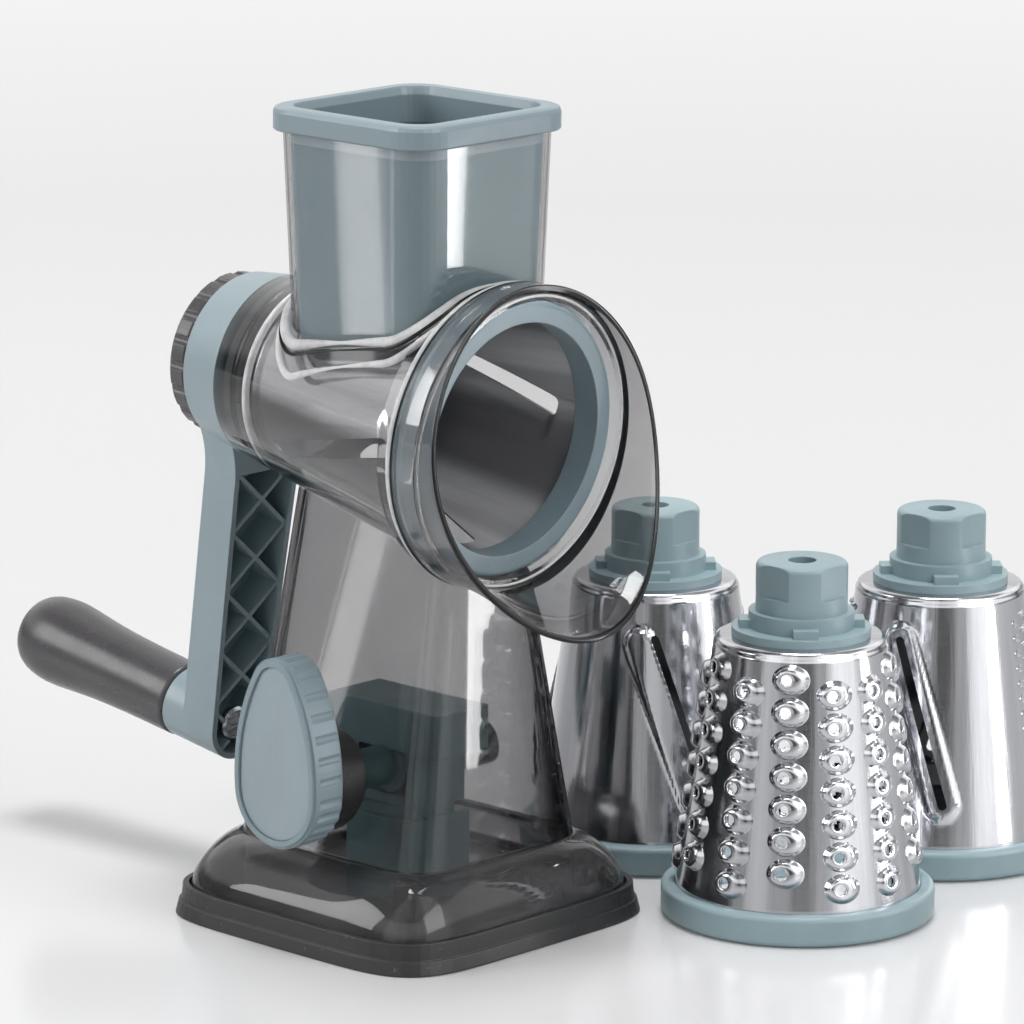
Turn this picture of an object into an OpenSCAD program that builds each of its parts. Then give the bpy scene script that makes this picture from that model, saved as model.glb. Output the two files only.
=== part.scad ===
// Rotary vegetable shredder with a suction foot, a drum that slides out and a hinged crank.
// The table is z = 0, the tower stands on the origin and the drum empties towards +X.

/* [Base] */
// Width of the foot ring on the table
foot_w = 135; // [130:1:142]
// Height of the foot ring
foot_h = 11; // [10:0.5:12.5]
// Height of the crease between the dome and the tower
dome_h = 30; // [28:0.5:33]
// Width of the tower at the crease, along the barrel
tower_w = 99; // [95:1:103]
// Depth of the tower at the crease, across the barrel
tower_d = 90; // [86:1:94]
// Wall of the clear mouldings
wall_t = 2.4; // [2:0.1:2.8]

/* [Barrel] */
// Height of the barrel axis above the table
axis_z = 186; // [182:1:192]
// Fall of the barrel axis towards the mouth, in degrees
barrel_tilt = 4.6; // [3.5:0.1:5.5]
// Free space between the drum cone and the barrel
drum_space = 3.2; // [2.8:0.1:3.8]
// Length of the barrel's ring in front of the drum rim's seat
ring_len = 16; // [14:0.5:18]

/* [Splash guard] */
// Radius of the guard's lip at the top
lip_r = 56.4; // [55.5:0.1:58]
// How much wider the lip is at the bottom
lip_drop = 6.9; // [5:0.1:8]
// Reach of the lip at the top, from the tower's middle
lip_top_reach = 56; // [55.5:0.5:58]
// Reach of the lip at the bottom
lip_low_reach = 97.3; // [90:0.1:102]
// How much the lip's sides reach forward above the axis and draw back below it
lip_sway = 7.8; // [0:0.1:9]

/* [Drum] */
// Outer diameter of the plastic rim
rim_d = 99; // [98:0.5:99.5]
// Thickness of the plastic rim along the axis
rim_h = 11; // [10:0.5:12]
// Step from the rim's edge in to the steel cone
rim_step = 5; // [4.5:0.1:5.5]
// How much narrower the steel cone is at its small end
cone_fall = 27; // [25:0.5:29]
// Length of the steel cone
cone_h = 92; // [90:0.5:93]
// Thickness of the steel sheet
sheet_t = 0.8; // [0.7:0.05:1]
// Width of the slots in the fitted drum
fitted_slot_w = 5.6; // [4:0.1:7]
// Length of the slots in the fitted drum
fitted_slot_l = 74; // [66:1:76]
// Diameter of the drive boss
boss_d = 33; // [32:0.5:34]
// Length of the drive boss
boss_h = 18; // [17:0.5:19]

/* [Hopper and pusher] */
// Width of the hopper at its mouth
hopper_w = 75; // [74:0.5:76]
// Draft of the hopper walls, in degrees
hopper_draft = 1.7; // [1.2:0.1:2]
// Height of the hopper mouth above the table
hopper_top = 286; // [282:1:294]
// Width of the pusher's rim
pusher_w = 80; // [79:0.5:84]
// Height of the pusher's rim
pusher_rim_h = 8.5; // [7.5:0.5:10]

/* [Crank] */
// Distance from the hub's axis to the grip's axis
crank_len = 140; // [132:1:146]
// Lean of the arm away from the tower, in degrees
crank_lean = 4.5; // [3.5:0.1:4.9]
// Thickness of the arm
arm_t = 16; // [14:0.5:16]
// Width of the arm below the neck
arm_neck_w = 32; // [30:0.5:34]
// Width of the arm at the grip
arm_end_w = 27; // [26:0.5:29]
// Diameter of the hub at the barrel
hub_front_d = 69; // [67:0.5:71]
// Diameter of the hub at the lock nut
hub_back_d = 63.5; // [62:0.5:65]
// Thickness of the hub
hub_t = 20; // [20:0.5:22]
// Length of the turning grip
grip_len = 84; // [78:1:90]
// Largest diameter of the grip, near its far end
grip_d = 33; // [31:0.5:35]

/* [Suction lever] */
// Height of the lever's shaft above the table
lever_z = 57; // [55:0.5:60]
// Diameter of the lever's round end
lever_d = 41; // [39:0.5:43]
// Distance from the shaft to the middle of the narrow end
lever_len = 37; // [34:0.5:40]
// Thickness of the lever
lever_t = 15; // [13:0.5:16]
// Diameter of the shaft through the tower
shaft_d = 10.4; // [9.6:0.1:11]
// Throw of the cam on the shaft
cam_throw = 3; // [2.6:0.1:3.2]
// How far the lever stands off the tower's wall
lever_stand = 13.2; // [12.8:0.1:14.5]

/* [Spare drums] */
// Distance from the tower's middle to the rim of the middle spare drum, across the photographed view
spare_apart = 91.5; // [90:0.5:100]
// Gap between the rims of the two spare drums that stand behind
spare_gap = 7; // [4:0.5:12]

/* [Hidden] */
$fn = 64;

// Overruns and clearances that the whole machine shares
cut = 1;
run_gap = 0.5;
fit_gap = 0.3;
slip_gap = 0.4;
seam_gap = 0.1;

// Colours of the photograph
blue_plastic = [0.51, 0.59, 0.62];
teal_plastic = [0.22, 0.31, 0.32];
smoke = [0.45, 0.45, 0.46, 0.45];
dark_smoke = [0.25, 0.25, 0.26, 0.7];
near_black = [0.2, 0.2, 0.2];
dark_grey = [0.38, 0.37, 0.38];
steel = [0.8, 0.8, 0.82];
rubber_black = [0.1, 0.1, 0.1];

// Outlines and lofts. A ring is a list of points, and every ring of a loft has the same count.
ring_steps = 56;
corner_steps = 7;
function power(v, e) = sign(v) * pow(abs(v), e);
function bulged(hx, hy, z, n) = [for (i = [0 : ring_steps - 1]) let (a = 360 * i / ring_steps)
  [hx * power(cos(a), 2 / n), hy * power(sin(a), 2 / n), z]];
function rounded(hx, hy, r, z) = [for (q = [0 : 3], i = [0 : corner_steps])
  let (a = 90 * (q + i / corner_steps), sx = (q == 0 || q == 3) ? 1 : -1, sy = q < 2 ? 1 : -1)
  [sx * (hx - r) + r * cos(a), sy * (hy - r) + r * sin(a), z]];
function moved(ring, x) = [for (p = ring) [p[0] + x, p[1], p[2]]];
function side_faces(n, from, to) = [for (i = [0 : n - 1]) let (j = (i + 1) % n)
  [from * n + i, to * n + i, to * n + j, from * n + j]];

// A solid through a stack of rings, from the lowest up
module loft(rings) {
  n = len(rings[0]);
  last = len(rings) - 1;
  polyhedron(
    points = [for (ring = rings) each ring],
    faces = concat(
      [[for (i = [0 : n - 1]) i]],
      [for (k = [0 : last - 1]) each side_faces(n, k, k + 1)],
      [[for (i = [n - 1 : -1 : 0]) last * n + i]]),
    convexity = 6);
}

// A closed shell whose section runs through the rings, up the outside and down the inside
module shell_loft(rings) {
  n = len(rings[0]);
  count = len(rings);
  polyhedron(
    points = [for (ring = rings) each ring],
    faces = [for (k = [0 : count - 1]) each side_faces(n, k, (k + 1) % count)],
    convexity = 8);
}

// A turned piece along the barrel's axis, from [radius, distance] points
module turned(profile) rotate([0, 90, 0]) rotate_extrude($fn = 96) polygon(profile);
module on_axis() translate([0, 0, axis_z]) rotate([0, barrel_tilt, 0]) children();

// A plate across the X axis whose outline is drawn in Y and Z, from x = front backwards
module plate_across(front, t) translate([front - t, 0, 0]) rotate([90, 0, 90])
  linear_extrude(t) children();

// A rod along Y from a low y to a high one
module rod_y(d, from, to) translate([0, to, 0]) rotate([90, 0, 0]) cylinder(d = d, h = to - from);

// A slot with round ends, lying along Y
module slot_2d(w, l) {
  square([w, l - w], center = true);
  for (s = [-1, 1]) translate([0, s * (l - w) / 2]) circle(d = w, $fn = 32);
}

// Foot ring with a ledge half way up and a lip that leaves a groove round the dome
foot_r = foot_w / 2;
foot_bulge = 5.5;
foot_draft = 2.2;
ledge_in = 0.7;
ledge_share = 0.45;
ledge_z = foot_h * ledge_share;
lip_t = 1.7;
groove_t = 0.6;
groove_share = 0.77;
groove_z = foot_h * groove_share;
foot_wall = 7.2;
function foot_ring_at(r, z) = bulged(r, r, z, foot_bulge);
module foot_ring() {
  ledge_r = foot_r - foot_draft * ledge_z / foot_h;
  lip_r_in = foot_r - foot_draft - lip_t;
  inner = foot_r - foot_wall;
  color(near_black) shell_loft([
    foot_ring_at(foot_r, 0), foot_ring_at(ledge_r, ledge_z),
    foot_ring_at(ledge_r - ledge_in, ledge_z), foot_ring_at(foot_r - foot_draft, foot_h),
    foot_ring_at(lip_r_in, foot_h), foot_ring_at(lip_r_in, groove_z),
    foot_ring_at(inner, groove_z), foot_ring_at(inner, 0)]);
}

// Plate that closes the base and carries the guide column, held by four screws from below
plate_z = 4.5;
plate_t = 3;
plate_top = plate_z + plate_t;
screw_at_share = 0.68;
screw_at = foot_r * screw_at_share;
screw_head_d = 7;
screw_head_h = 2.4;
screw_slot_w = 1.1;
screw_slot_h = 1.2;
screw_shank_d = 3.4;
screw_bite = 8;
stem_d = 12;
stem_foot_d = 18;
stem_foot_h = 3;
pad_boss_wall = 1.8;
pad_boss_d = stem_foot_d + 2 * fit_gap + 2 * pad_boss_wall;
module at_screws() for (x = [-1, 1], y = [-1, 1]) translate([x * screw_at, y * screw_at, 0])
  children();
module base_plate() {
  inner = foot_r - foot_wall - fit_gap;
  color(near_black) difference() {
    translate([0, 0, plate_z]) linear_extrude(plate_t)
      polygon([for (p = foot_ring_at(inner, 0)) [p[0], p[1]]]);
    translate([0, 0, plate_z - cut]) cylinder(d = pad_boss_d + 4 * fit_gap, h = plate_t + 2 * cut);
    at_screws() translate([0, 0, plate_z - cut])
      cylinder(d = screw_shank_d + fit_gap, h = plate_t + 2 * cut);
  }
}
module base_screws() color(steel) at_screws() {
  difference() {
    translate([0, 0, plate_z - screw_head_h]) cylinder(d = screw_head_d, h = screw_head_h);
    for (a = [0, 90]) rotate(a) translate([0, 0, plate_z - screw_head_h])
      cube([screw_head_d - 2 * screw_slot_w, screw_slot_w, 2 * screw_slot_h], center = true);
  }
  translate([0, 0, plate_z]) cylinder(d = screw_shank_d, h = plate_t + screw_bite);
}

// Rubber pad under the base, drawn up in the middle by the stem
pad_d = 104;
pad_z = 0;
pad_t = 2.2;
pad_boss_h = 8;
pad_floor = pad_z + pad_t;
module suction_pad() color(rubber_black) rotate_extrude() polygon([
  [0, pad_z], [pad_d / 2 - pad_t, pad_z], [pad_d / 2, pad_z + pad_t / 3],
  [pad_d / 2 - pad_t, pad_floor - pad_t / 3], [pad_boss_d / 2, pad_floor],
  [pad_boss_d / 2, pad_floor + pad_boss_h],
  [pad_boss_d / 2 - pad_boss_wall, pad_floor + pad_boss_h],
  [pad_boss_d / 2 - pad_boss_wall, pad_floor], [0, pad_floor]]);

// Skirt with a round shoulder, open at the top where the tower stands
dome_r = foot_r - foot_draft - lip_t - groove_t;
dome_shares = [[1, 0], [0.985, 0.12], [0.9, 0.34], [0.76, 0.53], [0.56, 0.72], [0.3, 0.89], [0, 1]];
dome_wall_share = 1.3;
dome_edge_share = 1.8;
function dome_half(k, width) = width / 2 + (dome_r - width / 2) * k;
function dome_ring(share, inset, drop) = bulged(
  dome_half(share[0], tower_w + wall_t) - inset, dome_half(share[0], tower_d + wall_t) - inset,
  groove_z + (dome_h - groove_z) * share[1] - drop, foot_bulge);
dome_outside = [for (s = dome_shares) dome_ring(s, 0, 0)];
dome_inside = [for (s = dome_shares)
  dome_ring(s, wall_t * (s[1] == 1 ? dome_edge_share : dome_wall_share),
    s[1] == 1 || s[1] == 0 ? 0 : wall_t * (1 - s[0]))];
module base_dome() color(dark_smoke) shell_loft(concat(dome_outside,
  [for (i = [len(dome_shares) - 1 : -1 : 0]) dome_inside[i]]));

// Posts that stand on the plate and meet the shoulder from inside
post_d = 13;
module screw_posts() color(near_black) difference() {
  intersection() {
    at_screws() translate([0, 0, plate_top]) cylinder(d = post_d, h = dome_h);
    loft(dome_inside_low());
  }
  at_screws() translate([0, 0, plate_top - cut])
    cylinder(d = screw_shank_d + fit_gap, h = screw_bite + 2 * cut);
}
function dome_inside_low() = concat(
  [[for (p = dome_inside[0]) [p[0], p[1], plate_top]]], dome_inside);

// Tower, tapering mostly across the barrel and cut off by it
tower_n = 6;
tower_top_z = 165;
top_w_share = 0.795;
top_d_share = 0.42;
tower_top_w = tower_w * top_w_share;
tower_top_d = tower_d * top_d_share;
function tower_half(z, low, high) = (low + (high - low) * (z - dome_h) / (tower_top_z - dome_h)) / 2;
function tower_ring(z, inset) = bulged(tower_half(z, tower_w, tower_top_w) - inset,
  tower_half(z, tower_d, tower_top_d) - inset, z, tower_n);
module tower_shell() color(smoke) difference() {
  shell_loft([tower_ring(dome_h, 0), tower_ring(tower_top_z, 0),
    tower_ring(tower_top_z, wall_t), tower_ring(dome_h, wall_t)]);
  on_axis() turned([[0, -foot_r], [barrel_r(-foot_r) + seam_gap, -foot_r],
    [barrel_r(swell_s) + seam_gap, swell_s], [ring_r + seam_gap, swell_s + wall_t - seam_gap],
    [ring_r + seam_gap, guard_s - seam_gap], [guard_r + seam_gap, guard_s - seam_gap],
    [guard_r + seam_gap, foot_r], [0, foot_r]]);
  translate([0, -tower_d / 4, lever_z]) rod_y(neck_d + 2 * seam_gap, -tower_d / 2, 0);
}

// The cone's ends follow the rim
cone_big_d = rim_d - 2 * rim_step;
cone_small_d = cone_big_d - cone_fall;

// Distances along the barrel's axis, counted from the tower's middle towards the mouth
drum_front = 53;
seal_t = 2.6;
seat_s = drum_front - rim_h - seal_t - fit_gap;
cone_front = drum_front - rim_h;
cone_back = cone_front - cone_h;
flange_h = 3;
collar_h = 6;
flange_step = 6;
collar_wall = 2.5;
flange_d = cone_small_d - 2 * flange_step;
collar_d = boss_d + 2 * collar_wall;
back_t = 3.5;
back_s = cone_back - flange_h - collar_h - cut;
rear_s = back_s - back_t;
ring_gap = 0.7;
ring_r = rim_d / 2 + ring_gap + wall_t;
ring_front = seat_s + ring_len;
swell_s = seat_s - 2 * wall_t;
guard_grip = 9;
guard_s = ring_front - guard_grip;
bush_wall = 4.5;
bush_d = boss_d + 2 * bush_wall;
function cone_r(s) = cone_small_d / 2
  + (cone_big_d - cone_small_d) / 2 * (s - cone_back) / cone_h;
function bore_r(s) = cone_r(s) + drum_space;
function barrel_r(s) = bore_r(s) + wall_t;

// Hopper: its walls lean in a little on their way down to the barrel
hopper_x = 4.5;
hopper_corner = 14;
hopper_foot = 196;
collar_t = 3.5;
function hopper_half(z) = hopper_w / 2 - (hopper_top - z) * tan(hopper_draft);
function hopper_ring(z, inset) = moved(rounded(hopper_half(z) - inset, hopper_half(z) - inset,
  hopper_corner - inset, z), hopper_x);

// Barrel and hopper in one moulding
module barrel_housing() color(smoke) difference() {
  union() {
    on_axis() turned([
      [0, rear_s], [barrel_r(rear_s), rear_s],
      [barrel_r(swell_s), swell_s], [ring_r, swell_s + wall_t],
      [ring_r, ring_front], [0, ring_front]]);
    loft([hopper_ring(hopper_foot, 0), hopper_ring(hopper_top, 0)]);
    intersection() {
      loft([hopper_ring(hopper_foot, -collar_t), hopper_ring(hopper_top, -collar_t)]);
      on_axis() turned([[0, back_s], [barrel_r(back_s) + collar_t, back_s],
        [barrel_r(seat_s) + collar_t, seat_s], [0, seat_s]]);
    }
  }
  on_axis() turned([
    [0, back_s], [bore_r(back_s), back_s], [bore_r(seat_s), seat_s],
    [rim_d / 2 + ring_gap, seat_s], [rim_d / 2 + ring_gap, ring_front + cut],
    [0, ring_front + cut]]);
  on_axis() turned([[0, rear_s - cut], [bush_d / 2, rear_s - cut], [bush_d / 2, back_s + cut],
    [0, back_s + cut]]);
  loft([hopper_ring(axis_z, wall_t), hopper_ring(hopper_top + cut, wall_t)]);
}

// Bearing bush in the barrel's back wall, and the seal behind the drum's rim
bush_flange_step = 2.5;
bush_flange_d = bush_d + 2 * bush_flange_step;
bush_flange_t = 0.6;
module rear_bush() color(near_black) on_axis() turned([
  [boss_d / 2 + fit_gap, rear_s], [bush_d / 2 - seam_gap, rear_s],
  [bush_d / 2 - seam_gap, back_s], [bush_flange_d / 2, back_s],
  [bush_flange_d / 2, back_s + bush_flange_t], [boss_d / 2 + fit_gap, back_s + bush_flange_t]]);
module rim_seal() color(blue_plastic) on_axis() turned([
  [cone_big_d / 2 + drum_space / 2, seat_s], [rim_d / 2 + ring_gap / 2, seat_s],
  [rim_d / 2 + ring_gap / 2, seat_s + seal_t], [cone_big_d / 2 + drum_space / 2, seat_s + seal_t]]);

// Splash guard: a hood pushed over the barrel's ring, with a long lip at the bottom
guard_steps = 72;
rise_power = 1.8;
wide_power = 3.2;
flare_power = 1.6;
flare_shares = [0, 0.35, 0.7, 1];
guard_r = ring_r + seam_gap + wall_t;
function low_share(a) = (1 - cos(a)) / 2;
function lip_reach(a) = lip_top_reach
  + (lip_low_reach - lip_top_reach) * pow(low_share(a), rise_power)
  + lip_sway * pow(sin(a), 2) * cos(a);
function lip_radius(a) = lip_r + lip_drop * pow(low_share(a), wide_power);
function guard_point(s, r, a) = [s, r * sin(a), r * cos(a)];
function grip_ring(r) = [for (i = [0 : guard_steps - 1])
  guard_point(guard_s, r, 360 * i / guard_steps)];
function flare_ring(k, inset) = [for (i = [0 : guard_steps - 1]) let (a = 360 * i / guard_steps)
  guard_point(ring_front + (lip_reach(a) - ring_front) * k,
    guard_r + (lip_radius(a) - guard_r) * pow(k, flare_power) - inset, a)];
module splash_guard() color(smoke) on_axis() shell_loft(concat(
  [grip_ring(guard_r)], [for (k = flare_shares) flare_ring(k, 0)],
  [for (i = [len(flare_shares) - 1 : -1 : 0]) flare_ring(flare_shares[i], wall_t)],
  [grip_ring(guard_r - wall_t)]));

// Hollow pusher that fills the hopper. Its underside follows the drum.
pusher_wall = 2.2;
pusher_low = 207;
pusher_step = 3;
rim_round = 2;
round_share = 0.3;
saddle_gap = 3.4;
module saddle(extra) on_axis() turned([
  [0, rear_s], [cone_r(rear_s) + saddle_gap + extra, rear_s],
  [cone_r(cone_front) + saddle_gap + extra, cone_front], [0, cone_front]]);
module food_pusher() {
  inset = wall_t + slip_gap;
  well = inset + pusher_wall;
  rim_z = hopper_top + run_gap;
  rim_top = rim_z + pusher_rim_h;
  half = pusher_w / 2;
  function rim_ring(z, in) = moved(rounded(half - in, half - in, hopper_corner - in, z), hopper_x);
  color(blue_plastic) difference() {
    union() {
      loft([hopper_ring(pusher_low, inset), hopper_ring(rim_z + cut, inset)]);
      loft([rim_ring(rim_z, rim_round * round_share), rim_ring(rim_z + rim_round * round_share, 0),
        rim_ring(rim_top - rim_round, 0),
        rim_ring(rim_top - rim_round * round_share, rim_round * round_share),
        rim_ring(rim_top, rim_round)]);
    }
    saddle(0);
    difference() {
      loft([hopper_ring(pusher_low, well), hopper_ring(rim_z, well)]);
      saddle(pusher_wall);
    }
    loft([hopper_ring(rim_z - cut, well), hopper_ring(rim_top - pusher_step, well),
      hopper_ring(rim_top - rim_round * round_share, well - pusher_step / 4),
      hopper_ring(rim_top + cut, well - pusher_step / 2)]);
  }
}

// Drums. A drum is drawn standing on its rim with its mouth down and its axis along Z.
rim_wall = 7.5;
rim_in_d = rim_d - 2 * rim_wall;
rim_edge = 2;
tuck = 2.4;
tuck_gap = 0.1;
slot_l = 66;
slot_w = 3.4;
slot_slant = 17;
slot_lip_w = 12;
slot_lip_h = 1.3;
cone_top = rim_h + cone_h;
cone_lean = atan((cone_big_d - cone_small_d) / 2 / cone_h);
function wall_r(z) = cone_big_d / 2 - (cone_big_d - cone_small_d) / 2 * (z - rim_h) / cone_h;

module drum_rim_shape() color(blue_plastic) rotate_extrude($fn = 96) difference() {
  union() {
    translate([rim_in_d / 2, 0]) square([(rim_d - rim_in_d) / 2 - rim_edge, rim_h]);
    translate([rim_in_d / 2, rim_edge]) square([(rim_d - rim_in_d) / 2, rim_h - 2 * rim_edge]);
    for (z = [rim_edge, rim_h - rim_edge]) translate([rim_d / 2 - rim_edge, z])
      circle(r = rim_edge, $fn = 24);
  }
  translate([cone_big_d / 2 - sheet_t - tuck_gap, rim_h - tuck - tuck_gap])
    square([sheet_t + 2 * tuck_gap, tuck + cut]);
}

// The crank turns the drum by the flats of this boss, and a stud locks into its bore
flat_share = 0.91;
boss_round_h = 6;
boss_edge = 2;
lock_d = 9.6;
lock_depth = 9;
tab_w = 9;
tab_t = 3;
tab_reach = 3.5;
module flat_prism(grow, h) intersection() {
  cylinder(d = boss_d + 2 * grow, h = h);
  translate([0, 0, h / 2])
    cube([boss_d * flat_share + 2 * grow, boss_d * flat_share + 2 * grow, h], center = true);
}
module drum_hub_shape() color(blue_plastic) translate([0, 0, cone_top]) difference() {
  union() {
    cylinder(d = flange_d, h = flange_h);
    cylinder(d = collar_d, h = flange_h + collar_h);
    for (a = [45 : 90 : 315]) rotate(a) translate([collar_d / 2 - tab_t, -tab_w / 2, flange_h])
      cube([tab_t + tab_reach, tab_w, tab_t]);
    translate([0, 0, flange_h + collar_h]) {
      cylinder(d = boss_d, h = boss_round_h);
      intersection() {
        flat_prism(0, boss_h);
        rotate_extrude() {
          square([boss_d / 2 - boss_edge, boss_h]);
          square([boss_d / 2, boss_h - boss_edge]);
          translate([boss_d / 2 - boss_edge, boss_h - boss_edge]) circle(r = boss_edge, $fn = 24);
        }
      }
    }
  }
  translate([0, 0, flange_h + collar_h + boss_h - lock_depth])
    cylinder(d = lock_d + 2 * fit_gap, h = lock_depth + cut);
}

// Solid cone of the drum, grown by a height over the sheet, and the space inside it
module cone_solid(grow) rotate_extrude($fn = 96) polygon([
  [0, rim_h - tuck], [cone_big_d / 2 + grow, rim_h - tuck], [cone_big_d / 2 + grow, rim_h],
  [cone_small_d / 2 + grow, cone_top], [0, cone_top]]);
module cone_hollow() rotate_extrude($fn = 96) polygon([
  [0, rim_h - tuck - cut], [cone_big_d / 2 - sheet_t, rim_h - tuck - cut],
  [cone_big_d / 2 - sheet_t, rim_h], [cone_small_d / 2 - sheet_t, cone_top - sheet_t],
  [0, cone_top - sheet_t]]);

// Lays a shape drawn on the XY plane against the cone, its Y along the cone's slope
module on_cone(turn, z) rotate(turn) translate([wall_r(z), 0, z])
  rotate([0, 90 - cone_lean, 0]) rotate(-90) children();
module slot_prisms(count, start, w, l, aside = 0, forward = 0) for (i = [0 : count - 1])
  on_cone(start + 360 * i / count, rim_h + cone_h / 2 - forward) rotate(slot_slant)
    translate([-aside, 0, -slot_lip_w]) linear_extrude(2 * slot_lip_w) slot_2d(w, l);
module slotted_shell(count, start, lip_h) color(steel) difference() {
  union() {
    cone_solid(0);
    intersection() {
      cone_solid(lip_h);
      slot_prisms(count, start, slot_lip_w, slot_l + slot_lip_w - slot_w);
    }
  }
  cone_hollow();
  slot_prisms(count, start, slot_w, slot_l);
}

// The fitted drum has wide slots, each with a ramp pressed up along one side
fitted_slots = 4;
fitted_turn = -14;
fitted_forward = 1.5;
ramp_w = 14;
module fitted() on_axis() translate([drum_front, 0, 0]) rotate([0, -90, 0]) children();
module drum_shell() fitted() color(steel) difference() {
  union() {
    cone_solid(0);
    intersection() {
      cone_solid(slot_lip_h);
      slot_prisms(fitted_slots, fitted_turn, ramp_w, fitted_slot_l, ramp_w / 2, fitted_forward);
    }
  }
  cone_hollow();
  slot_prisms(fitted_slots, fitted_turn, fitted_slot_w, fitted_slot_l, 0, fitted_forward);
}
module drum_rim() fitted() drum_rim_shape();
module drum_hub() fitted() drum_hub_shape();

// Spare drums, standing on the table beside the tower
view_turn = 44.3;
module beside(right, near) rotate(view_turn) translate([right, -near, 0]) rotate(-view_turn)
  children();
row_gap = 2.9;
side_shift = 4;
side_skew = 3;
middle_apart = spare_apart + rim_d / 2;
side_apart = (rim_d + spare_gap) / 2;
side_behind = sqrt(pow(rim_d + row_gap, 2) - pow(side_apart, 2));
module slicer_place() beside(middle_apart + side_shift - side_apart,
  -side_behind - side_skew) children();
module grater_place() beside(middle_apart, 0) children();
module shaver_place() beside(middle_apart + side_shift + side_apart,
  -side_behind + side_skew) children();

// Slicer: three slanted slots with high lips
slicer_slots = 3;
slicer_turn = -32;
slicer_lip_h = 2.4;
module slicer_shell() slicer_place() slotted_shell(slicer_slots, slicer_turn, slicer_lip_h);
module slicer_rim() slicer_place() drum_rim_shape();
module slicer_hub() slicer_place() drum_hub_shape();

// Coarse grater: staggered columns of pressed bumps, each with a hole
bump_columns = 13;
bump_rows = 7;
bump_foot = 8.55;
bump_head = 9.35;
bump_stagger_share = 0.5;
bump_pitch = (cone_h - bump_foot - bump_head) / (bump_rows - bump_stagger_share);
bump_r = 5.4;
bump_h = 2.4;
bump_hole_d = 5.2;
bump_seat = 0.04;
bump_top_r = 3.3;
bump_waist_r = 4.6;
bump_waist_h = 1.4;
function bump_z(column, row) = rim_h + bump_foot
  + bump_pitch * (row + bump_stagger_share * (column % 2));
module each_bump() for (c = [0 : bump_columns - 1], r = [0 : bump_rows - 1])
  on_cone(360 * c / bump_columns, bump_z(c, r)) children();
module grater_shell() grater_place() color(steel) difference() {
  cone_solid(0);
  cone_hollow();
  each_bump() translate([0, 0, -bump_r]) cylinder(d = bump_hole_d, h = 2 * bump_r, $fn = 24);
}
module grater_bumps() grater_place() color(steel) each_bump() translate([0, 0, bump_seat])
  rotate_extrude($fn = 24) polygon([[bump_hole_d / 2, 0], [bump_r, 0], [bump_waist_r, bump_waist_h],
    [bump_top_r, bump_h], [bump_hole_d / 2, bump_h]]);
module grater_rim() grater_place() drum_rim_shape();
module grater_hub() grater_place() drum_hub_shape();

// Shaver: two slots and two fields of fine teeth
shaver_turn = -60;
tooth_seat = 0.04;
module shaver_shell() shaver_place() slotted_shell(2, shaver_turn, slot_lip_h);
tooth_columns = 6;
tooth_rows = 14;
tooth_first_share = 1.25;
tooth_pitch = 5.6;
tooth_angle = 9;
tooth_d = 3;
tooth_tip_d = 1.4;
tooth_h = 1.2;
module shaver_teeth() shaver_place() color(steel)
  for (side = [0, 1], c = [0 : tooth_columns - 1], r = [0 : tooth_rows - 1])
    on_cone(shaver_turn + 90 + 180 * side + tooth_angle * (c - (tooth_columns - 1) / 2),
      rim_h + tooth_pitch * (r + tooth_first_share + (c % 2) / 2)) translate([0, 0, tooth_seat])
      cylinder(d1 = tooth_d, d2 = tooth_tip_d, h = tooth_h, $fn = 16);
module shaver_rim() shaver_place() drum_rim_shape();
module shaver_hub() shaver_place() drum_hub_shape();

// Crank: the hub stands on the barrel's axis and the arm leans away from the tower
hub_front_s = rear_s - run_gap;
hub_back_s = hub_front_s - hub_t;
hub_edge = 1.5;
module on_arm() on_axis() translate([hub_front_s, 0, 0]) rotate([0, crank_lean, 0]) children();
arm_front = -1.5;
arm_back = arm_front - arm_t;
neck_top = 12;
neck_at = 46;
neck_power = 2.2;
neck_steps = 10;
arm_wall = 2.2;
arm_floor = 2.4;
channel_top = 40;
rib_t = 1.5;
rib_pitch = 23;
rib_low = 1;
end_r = arm_end_w / 2;
neck_r = arm_neck_w / 2;
module arm_outline(inset) {
  polygon([[neck_r - inset, -neck_at], [end_r - inset, -crank_len],
    [-end_r + inset, -crank_len], [-neck_r + inset, -neck_at]]);
  translate([0, -crank_len]) circle(r = end_r - inset, $fn = 48);
}
module neck_outline(inset) {
  wide = hub_back_d / 2 - hub_edge;
  function neck_half(k) = neck_r + (wide - neck_r) * pow(1 - k, neck_power) - inset;
  side = [for (i = [0 : neck_steps]) let (k = i / neck_steps)
    [neck_half(k), -neck_top - (neck_at - neck_top) * k]];
  polygon(concat(side, [for (i = [neck_steps : -1 : 0]) [-side[i][0], side[i][1]]]));
}
module channel_outline() difference() {
  union() {
    arm_outline(arm_wall);
    neck_outline(arm_wall);
  }
  translate([-hub_front_d, -channel_top]) square([2 * hub_front_d, crank_len]);
}
module lattice() for (k = [0 : floor((crank_len - channel_top) / rib_pitch)])
  translate([0, -channel_top - rib_pitch * (k + 0.5)])
    for (s = [-1, 1]) rotate(s * atan(rib_pitch / arm_end_w))
      square([3 * arm_neck_w, rib_t], center = true);

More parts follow.
